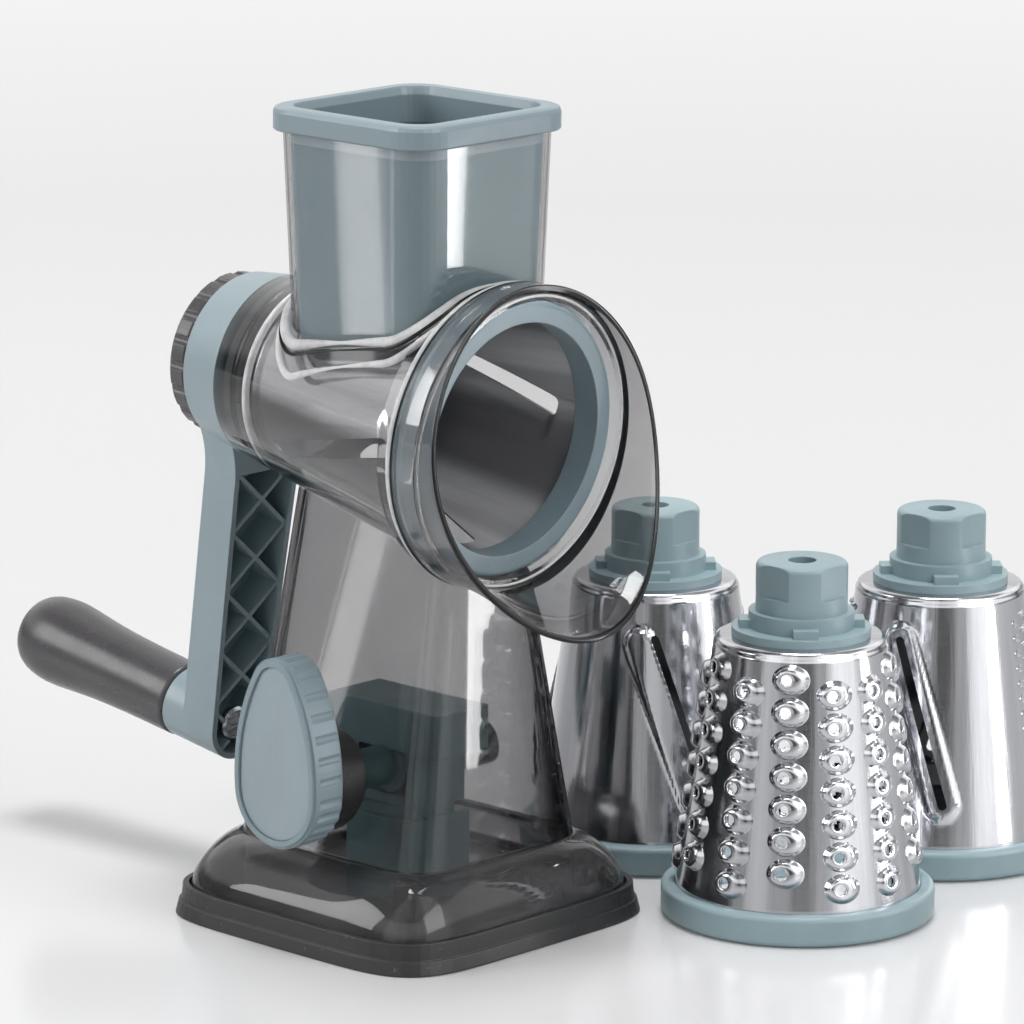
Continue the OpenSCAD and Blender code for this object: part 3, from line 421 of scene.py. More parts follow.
# The arm's recesses take their colour by how enclosed they are: painted shading.
blue_arm = plastic("blue_arm_plastic", (151, 168, 174), painted_recess_shading=(152, 175, 180))
grip_grey = plastic("grip_grey_plastic", (80, 78, 80), rough=0.3, edge_wear_and_highlight=0.25)
black = plastic("black_plastic", (40, 40, 41), rough=0.34, edge_wear_and_highlight=0.25)
foot_black = plastic("foot_black_plastic", (42, 42, 43), rough=0.42, edge_wear_and_highlight=0.3)
smoke = clear("clear_smoke_plastic", 125, haze_and_highlight=0.015)
# The tower's wall on the mouth's side is darkened towards the back: a painted dark reflection.
tower_smoke = clear("tower_smoke_plastic", 300, shade=0.5)
guard_smoke = clear("guard_smoke_plastic", 470, haze_and_highlight=0.015)
dome_smoke = clear("dome_smoke_plastic", 430, haze_and_highlight=0.13)
# Near-black gloss for the hood's rounded edge and the dark beads: painted dark edges and shade lines.
painted_dark_edge = plastic("painted_dark_edge_plastic", (11, 12, 13), rough=0.14, edge_wear_and_highlight=0.05, specular=0.35)
screw_steel = turned_steel("screw_steel")
pad_rubber = rubber("pad_rubber")
# The fitted hub's faces that look into the drum are painted dark: painted shade.
hub_painted_shade = plastic("fitted_hub_painted_shade_plastic", BLUE, painted_shade_facing=(MOUTHWARD, (44, 58, 60)))
# Pale beads that stand for the bright lines of thick clear plastic: painted highlights.
painted_highlight = clear("painted_highlight_plastic", 40, haze_and_highlight=0.66, haze_and_highlight_rgb=(246, 246, 247))
# The fitted drum's steel: its streak colour, dark clouds and four pale stripes are painted reflection.
steel_fitted = drum_steel("fitted_drum_steel", FITTED, tone=(240, 240, 243), wide=2.2, depth=0.3,
                          painted_reflection_bands=(-66, (80, 80, 82)))
# The drum's inside: its streak colour and pale stripes are painted reflection, and the darkening towards
# the closed end is painted shade.
steel_inside = drum_steel("drum_inside_steel", FITTED, tone=(242, 242, 244), rough=0.30, streak=0.4,
                          wide=2.4, depth=0.3, painted_recess_shading=True, painted_reflection_bands=(158, (132, 132, 134)), metal=0.6)
# The spare drums' steel: its streak colour and dark clouds are painted reflection.
steel_grater = drum_steel("grater_steel", GRATER)
steel_slicer = drum_steel("slicer_steel", SLICER)
steel_shaver = drum_steel("shaver_steel", SHAVER)
grater_inside = plastic("grater_inside_steel", (196, 196, 198), rough=0.5, mottle=0.02)

CAD_LOOKS = {
    "foot_ring": foot_black, "base_plate": black, "base_screws": screw_steel, "screw_posts": black,
    "suction_pad": pad_rubber, "base_dome": dome_smoke, "tower_shell": tower_smoke, "guide_column": teal,
    "lever_bezel": black, "far_boss": black, "barrel_housing": smoke, "rear_bush": black,
    "rim_seal": blue_rim, "splash_guard": guard_smoke,
    "crank_arm": blue_arm, "grip_spindle": screw_steel, "grip_sleeve": grip_grey, "lock_nut": grip_grey,
    "drum_shell": steel_fitted, "drum_rim": blue_rim, "drum_hub": hub_painted_shade,
    "food_pusher": blue_pusher, "suction_lever": blue, "lever_panel": blue_face,
    "cam_shaft": teal, "pull_yoke": teal, "pull_stem": screw_steel,
    "slicer_shell": steel_slicer, "slicer_rim": blue_spare, "slicer_hub": blue_spare,
    "grater_shell": steel_grater, "grater_bumps": steel_grater, "grater_rim": blue_spare,
    "grater_hub": blue_spare,
    "shaver_shell": steel_shaver, "shaver_teeth": steel_shaver, "shaver_rim": blue_spare,
    "shaver_hub": blue_spare,
}
for name, look in CAD_LOOKS.items():
    piece = NODES[name]
    piece.data.materials.clear()
    piece.data.materials.append(look)


# mesh helpers
def piece_from(name, points, faces, looks, pick=None):
    """A smooth-shaded object. pick gives each face's place in looks."""
    mesh = bpy.data.meshes.new(name)
    mesh.from_pydata([tuple(p) for p in points], [], faces)
    mesh.validate()
    bm = bmesh.new()
    bm.from_mesh(mesh)
    bmesh.ops.recalc_face_normals(bm, faces=bm.faces)
    bm.to_mesh(mesh)
    bm.free()
    for look in looks:
        mesh.materials.append(look)
    for i, poly in enumerate(mesh.polygons):
        poly.use_smooth = True
        if pick:
            poly.material_index = pick(i)
    obj = bpy.data.objects.new(name, mesh)
    bpy.context.scene.collection.objects.link(obj)
    return obj


def wrap_faces(rows, steps, closed=False):
    """Quads between rings of points, each with the same number of steps."""
    faces = []
    for r in range(rows if closed else rows - 1):
        for s in range(steps):
            t = (s + 1) % steps
            q = (r + 1) % rows
            faces.append((r * steps + s, r * steps + t, q * steps + t, q * steps + s))
    return faces


def smooth_curve(points):
    """A curve through 2D points that keeps their order."""
    steps = 5
    result = []
    for i in range(len(points) - 1):
        p0 = points[max(i - 1, 0)]
        p1, p2 = points[i], points[i + 1]
        p3 = points[min(i + 2, len(points) - 1)]
        for k in range(steps):
            t = k / steps
            result.append(tuple(
                0.5 * ((2 * b) + (c - a) * t + (2 * a - 5 * b + 4 * c - d) * t * t
                       + (3 * b - a - 3 * c + d) * t ** 3)
                for a, b, c, d in zip(p0, p1, p2, p3)))
    result.append(tuple(points[-1]))
    return result


def ease(v):
    """A smooth step from 0 to 1."""
    v = max(0.0, min(1.0, v))
    return v * v * (3 - 2 * v)


# drum shells
def wall_r(z):
    """The cone's radius at a height over its mouth."""
    return BIG_R - (BIG_R - SMALL_R) * (z - RIM_H) / CONE_H


def cone_point(turn, z, lift=0.0):
    """A point on the cone, lifted off the sheet along its own normal."""
    r = wall_r(z) + lift * math.cos(CONE_LEAN)
    return Vector((r * math.cos(turn), r * math.sin(turn), z + lift * math.sin(CONE_LEAN)))


def slot_shape(turn, z, middle, forward=0.0):
    """Distance across and along a slanted slot whose middle has that turn."""
    d = (turn - middle + math.pi) % TURN - math.pi
    a = d * wall_r(z)
    b = (z - RIM_H - CONE_H / 2 + forward) / math.cos(CONE_LEAN)
    return a * math.cos(SLANT) + b * math.sin(SLANT), b * math.cos(SLANT) - a * math.sin(SLANT)


def lip_height(turn, z, middles, height, width, aside=0.0):
    """A raised band round each slot. aside moves the band off the slot, towards which it then rises."""
    lift = 0.0
    for middle in middles:
        across, along = slot_shape(turn, z, middle)
        past = max(0.0, abs(along) - (SLOT_L - SLOT_W) / 2)
        d = math.hypot(across - aside, past)
        half = SLOT_W / 2 + width
        share = 1 if aside == 0 else LIP_MIDDLE + (1 - LIP_MIDDLE) * max(-1.0, (across - aside) / half)
        lift = max(lift, height * share * ease((half - d) / LIP_SLOPE))
    return lift


def ramp_height(turn, z, middles):
    """Ramps that rise towards one side of each slot of the fitted drum."""
    lift = 0.0
    for middle in middles:
        across, along = slot_shape(turn, z, middle, FITTED_FORWARD)
        past = abs(along) - FITTED_SLOT_L / 2 + RAMP_SHORT
        rise = ease((across - RAMP_FROM) / RAMP_RISE)
        fall = 1 - RAMP_FALL * ease((across - RAMP_TOP) / (RAMP_W - RAMP_TOP))
        lift = max(lift, RAMP_H * rise * fall * (1 - ease(past / RAMP_END)))
    return lift


def slot_cutter(name, place, middles, length=SLOT_L, width=SLOT_W, forward=0.0, widened=0.0):
    """Prisms that cut the slots, each forward of the cone's middle and widened to its low side."""
    ends, reach = 12, 0.008
    bm = bmesh.new()
    for middle in middles:
        outline = []
        for k in range(2 * ends):
            a = math.pi * k / ends
            y = (length - width) / 2 * (1 if k < ends else -1)
            x = width / 2 * math.cos(a)
            outline.append((x + (widened if x > 0 else 0.0), y + width / 2 * math.sin(a)))
        z0 = RIM_H + CONE_H / 2 - forward
        base = Matrix.Rotation(middle, 4, "Z") @ Matrix.Translation((wall_r(z0), 0, z0)) \
            @ Matrix.Rotation(math.pi / 2 - CONE_LEAN, 4, "Y") @ Matrix.Rotation(-math.pi / 2, 4, "Z") \
            @ Matrix.Rotation(SLANT, 4, "Z")
        low = [bm.verts.new(place @ base @ Vector((x, y, -reach))) for x, y in outline]
        high = [bm.verts.new(place @ base @ Vector((x, y, reach))) for x, y in outline]
        n = len(outline)
        for i in range(n):
            j = (i + 1) % n
            bm.faces.new((low[i], low[j], high[j], high[i]))
        bm.faces.new(list(reversed(low)))
        bm.faces.new(high)
    mesh = bpy.data.meshes.new(name)
    bmesh.ops.recalc_face_normals(bm, faces=bm.faces)
    bm.to_mesh(mesh)
    bm.free()
    obj = bpy.data.objects.new(name, mesh)
    bpy.context.scene.collection.objects.link(obj)
    return obj


def sheet_cone(name, place, look, lift, cutter=None, skip=None, inside=None):
    """The drum's sheet: a cone of one thickness with what lift presses up out of it.
    cutter opens the slots, and skip says where it has no faces. inside is the inner side's look."""
    steps, rows, bends = 256, 72, 6
    profile = [(RIM_H - TUCK, BIG_R)]
    profile += [(RIM_H + CONE_H * k / rows, None) for k in range(rows)]
    profile = [(z, r) for z, r in profile if z < CONE_TOP - SHOULDER]
    tops = [(CONE_TOP - SHOULDER * (1 - math.sin(a)), SMALL_R - SHOULDER * (1 - math.cos(a)))
            for a in (math.pi / 2 / bends * k for k in range(bends + 1))]
    tops += [(CONE_TOP, HUB_SEAT_R)]
    points = []
    for z, r in profile:
        for s in range(steps):
            turn = TURN * s / steps
            if r is None:
                points.append(place @ cone_point(turn, z, lift(turn, z)))
            else:
                points.append(place @ Vector((r * math.cos(turn), r * math.sin(turn), z)))
    for z, r in tops:
        points += [place @ Vector((r * math.cos(TURN * s / steps), r * math.sin(TURN * s / steps), z))
                   for s in range(steps)]
    faces = wrap_faces(len(profile) + len(tops), steps)
    if skip:
        def middle(face):
            return place.inverted() @ (sum((points[i] for i in face), Vector()) / 4)
        faces = [f for f in faces if not skip(middle(f))]
    obj = piece_from(name, points, faces, [look, inside or look])
    thick = obj.modifiers.new("sheet", "SOLIDIFY")
    thick.thickness = SHEET * SHEET_SHARE
    thick.offset = -1
    thick.material_offset = 1
    if cutter:
        cut = obj.modifiers.new("slots", "BOOLEAN")
        cut.operation = "DIFFERENCE"
        cut.solver = "EXACT"
        cut.object = cutter
    bake_modifiers(obj)
    if cutter:
        bpy.data.objects.remove(cutter)
    return obj


BAKED_EDGE = 40
FORMED_EDGE = 50


def bake_modifiers(obj):
    """Replaces the mesh by what its modifiers make of it."""
    bpy.context.view_layer.update()
    graph = bpy.context.evaluated_depsgraph_get()
    mesh = bpy.data.meshes.new_from_object(obj.evaluated_get(graph))
    obj.modifiers.clear()
    old = obj.data
    obj.data = mesh
    bpy.data.meshes.remove(old)
    for poly in mesh.polygons:
        poly.use_smooth = True
    sharpen(obj, BAKED_EDGE)


def sharpen(obj, degrees):
    """Keeps edges sharper than the angle."""
    bm = bmesh.new()
    bm.from_mesh(obj.data)
    limit = math.radians(degrees)
    for e in bm.edges:
        e.smooth = len(e.link_faces) == 2 and e.calc_face_angle(0) < limit
    bm.to_mesh(obj.data)
    bm.free()


def slot_turns(count, start):
    """Turns of evenly spaced slots, the first of them at start degrees."""
    return [math.radians(start) + TURN * i / count for i in range(count)]


def slotted(name, place, look, node, count, start, height, width, aside=0.0):
    """A spare drum's sheet with raised bands round its slots."""
    turns = slot_turns(count, start)
    obj = sheet_cone(name, place, look,
                     lambda t, z: lip_height(t, z, turns, height, width, aside),
                     cutter=slot_cutter(name + "_cutter", place, turns))
    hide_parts(node)
    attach(obj, "frame")


def fitted_drum():
    """The fitted drum's sheet, with a ramp beside each slot."""
    turns = slot_turns(count=4, start=-14)
    cutter = slot_cutter("fitted_drum_cutter", FITTED, turns, FITTED_SLOT_L, FITTED_SLOT_W,
                         FITTED_FORWARD, FITTED_WIDENED)
    obj = sheet_cone("fitted_drum_sheet", FITTED, steel_fitted, lambda t, z: ramp_height(t, z, turns),
                     cutter=cutter, inside=steel_inside)
    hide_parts("drum_shell")
    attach(obj, "drum")


fitted_drum()
slotted("slicer_sheet", SLICER, steel_slicer, "slicer_shell", count=3, start=-32, height=0.0026,
        width=0.0044, aside=-0.0058)
slotted("shaver_sheet", SHAVER, steel_shaver, "shaver_shell", count=2, start=-60, height=0.0012,
        width=0.0048)

# the grater's sheet and its pressed domes
BUMP_COLUMNS = 13
BUMP_ROWS = 7
BUMP_FIRST = 0.75
BUMP_PITCH = 0.0114
BUMP_ACROSS = 0.0070
BUMP_ALONG = 0.0055
BUMP_H = 0.0024
BUMP_HOLE = 0.0020
BUMP_SHIFT = 0.0014
OPEN_UNDER = BUMP_HOLE * 1.45
# From the dome's foot at 0 to its hole's edge at 1, with the share of its height there.
BUMP_SHAPE = [(0.0, -0.03), (0.06, 0.05), (0.14, 0.20), (0.26, 0.46), (0.4, 0.70), (0.54, 0.88),
              (0.68, 0.97), (0.84, 1.0), (0.96, 0.99), (1.0, 0.94), (1.0, 0.5)]


def bump_places():
    """Turn and height of every dome: columns of them, every other one half a pitch higher."""
    for c in range(BUMP_COLUMNS):
        for r in range(BUMP_ROWS):
            yield TURN * c / BUMP_COLUMNS, RIM_H + BUMP_PITCH * (r + BUMP_FIRST + (c % 2) / 2)


def over_bump(p):
    """True where the sheet is open under a dome."""
    turn = math.atan2(p.y, p.x)
    for t, z in bump_places():
        if abs(p.z - z) < BUMP_ALONG:
            d = ((turn - t + math.pi) % TURN - math.pi) * wall_r(p.z) + BUMP_SHIFT
            if math.hypot(d, (p.z - z) / math.cos(CONE_LEAN)) < OPEN_UNDER:
                return True
    return False


grater = sheet_cone("grater_sheet", GRATER, steel_grater, lambda t, z: 0.0, skip=over_bump,
                    inside=grater_inside)
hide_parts("grater_shell")
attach(grater, "frame")


def grater_domes():
    """Pressed oval domes laid on the cone, each with a round hole nearer one end."""
    steps = 28
    points, faces = [], []
    for t, z in bump_places():
        base = len(points)
        for k, h in BUMP_SHAPE:
            for s in range(steps):
                c, d = math.cos(TURN * s / steps), math.sin(TURN * s / steps)
                across = BUMP_ACROSS * c * (1 - k) + (BUMP_HOLE * c - BUMP_SHIFT) * k
                along = BUMP_ALONG * d * (1 - k) + BUMP_HOLE * d * k
                height = z + along * math.cos(CONE_LEAN)
                points.append(GRATER @ cone_point(t + across / wall_r(z), height, BUMP_H * h))
        faces += [tuple(base + i for i in f) for f in wrap_faces(len(BUMP_SHAPE), steps)]
    obj = piece_from("grater_domes", points, faces, [steel_grater])
    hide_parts("grater_bumps")
    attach(obj, "frame")


grater_domes()


# splash guard
WALL = 0.0024
RING_FRONT = 0.0551
GUARD_R = 0.0551
LIP_TOP_R, LIP_DROP = 0.0564, 0.0069
LIP_TOP_REACH, LIP_LOW_REACH = 0.056, 0.0973
LIP_SWAY = 0.0078
REACH_CURVE, RADIUS_CURVE, FLARE_CURVE = 1.8, 3.2, 1.6
GUARD_GRIP = 0.009


def guard_point(k, turn, inset):
    """A point of the hood: k runs from the ring at 0 to the lip at 1, and below 0 along the ring."""
    low = (1 - math.cos(turn)) / 2
    reach = LIP_TOP_REACH + (LIP_LOW_REACH - LIP_TOP_REACH) * low ** REACH_CURVE \
        + LIP_SWAY * math.sin(turn) ** 2 * math.cos(turn)
    radius = LIP_TOP_R + LIP_DROP * low ** RADIUS_CURVE
    if k < 0:
        return on_axis(RING_FRONT + GUARD_GRIP * k, GUARD_R - inset, turn)
    return on_axis(RING_FRONT + (reach - RING_FRONT) * k,
                   GUARD_R + (radius - GUARD_R) * k ** FLARE_CURVE - inset, turn)


def splash_guard():
    """The hood: clear along the ring, smokier beyond it, with a rounded edge painted dark, a painted
    shade for the dark look of its thick clear edge.
    """
    steps = 200
    out = [(-1, 0), (-0.5, 0), (0, 0)] + [(k / 10, 0) for k in range(1, 10)]
    edge = [(0.960, 0.0001), (0.992, WALL * 0.22), (1.0, WALL * 0.5), (0.992, WALL * 0.78),
            (0.965, WALL - 0.0001)]
    back = [(k, WALL) for k, _ in reversed(out)]
    rings = out + edge + back
    points = [guard_point(k, TURN * s / steps, inset) for k, inset in rings for s in range(steps)]
    faces = wrap_faces(len(rings), steps, closed=True)
    lip = range(len(out) * steps, (len(out) + len(edge) - 1) * steps)
    on_ring = 3 * steps
    obj = piece_from("guard_hood", points, faces, [guard_smoke, painted_dark_edge, smoke],
                     lambda i: 1 if i in lip else 2 if i < on_ring or i >= len(faces) - on_ring else 0)
    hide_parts("splash_guard")
    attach(obj, "frame")


splash_guard()


# skirt: its half width at the foot is the foot ring's, less a chamfer, a ledge and a gap
SKIRT_R = 0.0675 - 0.0022 - 0.0017 - 0.0006
SKIRT_FOOT_Z = 0.011 * 0.77
SKIRT_H = 0.030
TOWER_W, TOWER_D = 0.099, 0.090
SKIRT_BULGE = 5.5
CORNER_CROWD = 0.10
TOP_THICK, SIDE_THICK = WALL * 1.8, WALL * 1.3
# Shares of the way out from the tower to the foot's edge, and of the height there.
SKIRT_SHARES = [(1, 0), (0.985, 0.12), (0.9, 0.34), (0.76, 0.53), (0.56, 0.72), (0.3, 0.89), (0, 1)]


def base_skirt():
    """The skirt round the foot as one smooth shoulder."""
    steps = 320
    shares = smooth_curve(SKIRT_SHARES)
    rings = [(k, h, 0.0, 0.0) for k, h in shares]
    rings += [(k, h, TOP_THICK if h == 1 else SIDE_THICK, 0 if h in (0, 1) else WALL * (1 - k))
              for k, h in reversed(shares)]
    points = []
    for k, h, inset, drop in rings:
        half_x = (TOWER_W + WALL) / 2 * (1 - k) + SKIRT_R * k - inset
        half_y = (TOWER_D + WALL) / 2 * (1 - k) + SKIRT_R * k - inset
        z = SKIRT_FOOT_Z + (SKIRT_H - SKIRT_FOOT_Z) * h - drop
        for i in range(steps):
            # The steps crowd round the corners, where the ring turns fastest.
            a = TURN * i / steps
            a += math.sin(4 * a) * CORNER_CROWD
            c, d = math.cos(a), math.sin(a)
            points.append((math.copysign(abs(c) ** (2 / SKIRT_BULGE), c) * half_x,
                           math.copysign(abs(d) ** (2 / SKIRT_BULGE), d) * half_y, z))
    obj = piece_from("base_skirt", points, wrap_faces(len(rings), steps, closed=True), [dome_smoke])
    sharpen(obj, FORMED_EDGE)
    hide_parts("base_dome")
    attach(obj, "frame")
    return obj


skirt = base_skirt()


# bezel behind the lever
BEZEL_R = 0.0180
LEVER_Z = 0.057
BEZEL_SPAN = (-0.08, 0.0)


def bezel():
    """The lever's bezel, trimmed to the round that shows."""
    steps = 96
    points = [(BEZEL_R * math.sin(TURN * s / steps), y, LEVER_Z + BEZEL_R * math.cos(TURN * s / steps))
              for y in BEZEL_SPAN for s in range(steps)]
    faces = wrap_faces(2, steps) + [tuple(range(steps)), tuple(range(2 * steps - 1, steps - 1, -1))]
    cutter = piece_from("bezel_cutter", points, faces, [])
    obj = bpy.data.objects.new("bezel_ring", NODES["lever_bezel"].data.copy())
    obj.matrix_world = NODES["lever_bezel"].matrix_world.copy()
    bpy.context.scene.collection.objects.link(obj)
    cut = obj.modifiers.new("round", "BOOLEAN")
    cut.operation = "INTERSECT"
    cut.solver = "EXACT"
    cut.object = cutter
    bake_modifiers(obj)
    bpy.data.objects.remove(cutter)
    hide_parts("lever_bezel")
    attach(obj, "frame")


bezel()


# beads that carry the lines of thick clear plastic, round the foot of the hopper and about the barrel:
# pale beads are painted highlights and dark beads painted dark lines and shade
HOPPER_X = 0.0045
HOPPER_HALF = 0.0357
HOPPER_CORNER = 0.014
COLLAR_T = 0.0035
BARREL_GAP = 0.0032
COLLAR_RISE = 0.04
COLLAR_ROUNDS = 6
BEAD_STEP = 0.001
BEAD_LEAST = 0.3


def collar_path(outset, lift):
    """The hopper's outline, widened and laid on the barrel."""
    steps = 40
    corner = HOPPER_CORNER + outset
    flat = HOPPER_HALF - HOPPER_CORNER
    path = []
    for q in range(4):
        sx, sy = (1, -1, -1, 1)[q], (1, 1, -1, -1)[q]
        for i in range(steps):
            a = math.pi / 2 * (q + i / (steps - 1))
            path.append((HOPPER_X + sx * flat + corner * math.cos(a), sy * flat + corner * math.sin(a)))
    spaced = []
    for i, (x, y) in enumerate(path):
        nx, ny = path[(i + 1) % len(path)]
        parts = max(1, int(math.hypot(nx - x, ny - y) / BEAD_STEP))
        spaced += [(x + (nx - x) * k / parts, y + (ny - y) * k / parts) for k in range(parts)]
    result = []
    for x, y in spaced:
        # The cone's radius there depends on the height, so the height is found in a few rounds.
        z = AXIS_Z + COLLAR_RISE
        for _ in range(COLLAR_ROUNDS):
            s = x * math.cos(TILT) - (z - AXIS_Z) * math.sin(TILT)
            r = wall_r(DRUM_FRONT - s) + BARREL_GAP + WALL + lift
            z = AXIS_Z + (math.sqrt(r * r - y * y) - x * math.sin(TILT)) / math.cos(TILT)
        result.append(Vector((x, y, z)))
    return result


def bead(name, look, outset, lift, thickest):
    """A closed round bead along the foot of the hopper."""
    path = collar_path(outset, lift)
    around = 12
    points = []
    for i, p in enumerate(path):
        ahead = (path[(i + 1) % len(path)] - path[i - 1]).normalized()
        side = ahead.cross(Vector((0, 0, 1))).normalized()
        up = side.cross(ahead)
        # The bead is thick at the hopper's corners and thin between them.
        cornered = abs(math.sin(2 * math.atan2(p.y, p.x - HOPPER_X)))
        thick = thickest * (BEAD_LEAST + (1 - BEAD_LEAST) * cornered ** 1.5)
        for k in range(around):
            a = TURN * k / around
            points.append(p + (side * math.cos(a) + up * math.sin(a)) * thick)
    obj = piece_from(name, points, wrap_faces(len(path), around, closed=True), [look])
    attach(obj, "frame")


def ring_bead(name, look, s, radius, thick):
    """A round bead in a ring about the barrel's axis, at distance s along it."""
    steps, around = 144, 12
    points = []
    for i in range(steps):
        for k in range(around):
            a = TURN * k / around
            points.append(on_axis(s + math.sin(a) * thick, radius + math.cos(a) * thick,
                                  TURN * i / steps))
    obj = piece_from(name, points, wrap_faces(steps, around, closed=True), [look])
    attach(obj, "frame")


SEAM_S = RING_FRONT - GUARD_GRIP
BACK_S = DRUM_FRONT - CONE_TOP
BACK_R = SMALL_R + BARREL_GAP
# A dark line at the guard's seam: partly its joint and partly painted shade.
ring_bead("seam_line", painted_dark_edge, s=SEAM_S - 0.0008, radius=GUARD_R - 0.0004,
          thick=0.0005)
# Pale beads on the guard's ring and inside its rim: painted highlights.
ring_bead("ring_bead", painted_highlight, s=SEAM_S - 0.0030, radius=GUARD_R - 0.0021,
          thick=0.0015)
ring_bead("rim_line", painted_highlight, s=RING_FRONT + 0.0003,
          radius=GUARD_R - WALL - 0.0006, thick=0.0005)
# A dark ring at the barrel's back is painted shade, and the pale bead beside it a painted highlight.
ring_bead("back_line", painted_dark_edge, s=BACK_S - 0.004, radius=BACK_R - 0.0030,
          thick=0.0030)
ring_bead("back_bead", painted_highlight, s=BACK_S + 0.0025, radius=BACK_R - 0.0004,
          thick=0.0014)
# Pale beads round the hopper's foot are painted highlights, and the dark one between them a painted dark
# line.
bead("collar_bead", painted_highlight, outset=COLLAR_T * 0.45, lift=COLLAR_T - 0.0004, thickest=0.0023)
bead("collar_rim", painted_dark_edge, outset=COLLAR_T, lift=COLLAR_T - 0.0003, thickest=0.0008)
bead("collar_foot", painted_highlight, outset=COLLAR_T + 0.0004, lift=0.0004, thickest=0.0016)


# grip, on the crank's own axis, which leans a little more than the barrel's
HUB_FRONT_S = -0.064
CRANK_R = 0.140
LEAN = TILT + math.radians(4.5)
GRIP_AXIS = Vector((math.cos(LEAN), 0, -math.sin(LEAN)))
GRIP_UP = Vector((math.sin(LEAN), 0, math.cos(LEAN)))
GRIP_AT = on_axis(HUB_FRONT_S) - GRIP_UP * CRANK_R
GRIP_NEAR = -0.029
GRIP_LEN = 0.084
GRIP_R = 0.0165
# Shares of the grip's length and of its greatest radius there.
GRIP_FACE = [(0, 0.25), (0, 0.5), (0, 0.74), (0.002, 0.78)]
GRIP_SHARES = [(0.015, 0.84), (0.12, 0.845), (0.3, 0.855), (0.5, 0.89), (0.65, 0.95), (0.77, 1.0),
               (0.86, 0.985), (0.93, 0.9), (0.975, 0.72), (0.995, 0.4), (1, 0.02)]


def grip():
    """The grip, turned to one flowing outline."""
    steps = 96
    outline = GRIP_FACE + smooth_curve(GRIP_SHARES)
    points = []
    for share, radius in outline:
        for s in range(steps):
            a = TURN * s / steps
            points.append(GRIP_AT + GRIP_AXIS * (GRIP_NEAR - share * GRIP_LEN)
                          + (GRIP_UP * math.cos(a) + Vector((0, 1, 0)) * math.sin(a)) * radius * GRIP_R)
    faces = wrap_faces(len(outline), steps)
    faces.append(tuple((len(outline) - 1) * steps + s for s in range(steps)))
    obj = piece_from("grip_body", points, faces, [grip_grey])
    sharpen(obj, FORMED_EDGE)
    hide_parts("grip_sleeve")
    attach(obj, "grip")


grip()


# floor, light and camera
FLOOR_DIM = (200, 200, 201), (204, 204, 205)
FLOOR_SEEN = (222, 222, 223), (226, 226, 227)
FLOOR_FAR = (246, 246, 247)
FLOOR_GLOW, FAR_GLOW = 0.05, 0.65
TONE_SPAN = (0.5, 2.6)
GLOW_SPAN = (1.5, 6.0)
FLOOR_ROUGH = 0.17
FLOOR_HALF = 12
FLOOR_Z = -0.0003


def floor():
    """A pale floor, slightly glossy. The camera and the gloss see it lighter than it lights the part,
    and lighter still far from the part, where it meets the surround."""
    look = Look("studio_floor")
    matt = look.add("ShaderNodeBsdfPrincipled")
    fleck = look.noise(3, 2, 0.5)
    reach = look.add("ShaderNodeVectorMath", operation="LENGTH")
    look.put(reach.inputs[0], look.place)
    away = reach.outputs["Value"]
    dim = look.mix(fleck, *map(linear, FLOOR_DIM))
    bright = look.mix(fleck, *map(linear, FLOOR_SEEN))
    bright = look.mix(look.span(away, *TONE_SPAN, 0.0, 1.0), bright, linear(FLOOR_FAR))
    path = look.add("ShaderNodeLightPath").outputs
    seen = look.math("MAXIMUM", path["Is Camera Ray"],
                     look.math("MAXIMUM", path["Is Glossy Ray"], path["Is Transmission Ray"]))
    look.feed(matt, Base_Color=look.mix(seen, dim, bright), Roughness=FLOOR_ROUGH)
    matt.inputs["Specular IOR Level"].default_value = 0.30
    glow = look.add("ShaderNodeEmission")
    glow.inputs["Color"].default_value = (1, 1, 1, 1)
    look.put(glow.inputs["Strength"],
             look.math("MULTIPLY", seen, look.span(away, *GLOW_SPAN, FLOOR_GLOW, FAR_GLOW)))
    both = look.add("ShaderNodeAddShader")
    look.put(both.inputs[0], matt.outputs[0])
    look.put(both.inputs[1], glow.outputs[0])
    corners = [(x * FLOOR_HALF, y * FLOOR_HALF, FLOOR_Z)
               for x, y in ((-1, -1), (1, -1), (1, 1), (-1, 1))]
    obj = piece_from("studio_floor", corners, [(0, 1, 2, 3)], [look.finish(both.outputs[0])])
    return obj


# Upright soft boxes: turn from the camera's own direction, half width and soft edge, all in degrees,
# and strength.
BOXES = [(-42, 10, 5, 0.75), (-20, 9, 6, 0.38), (22, 8, 7, 0.35), (52, 18, 7, 1.35), (95, 22, 9, 0.32),
         (150, 18, 9, 0.38), (-150, 16, 9, 0.45)]
BACKDROP = (180, 24, 10, 0.92)
WALLS = 0.10
# The ceiling and the slit in it: between which upward parts of the direction each fades in, and how
# strong it is.
CEILING_SPAN, CEILING = (0.16, 0.34), 1.0
SLIT_SPAN, SLIT = (0.62, 0.70), -0.9
DARKEST = 0.04
EVEN_LIGHT = 0.3
SURROUND = (240, 240, 241)


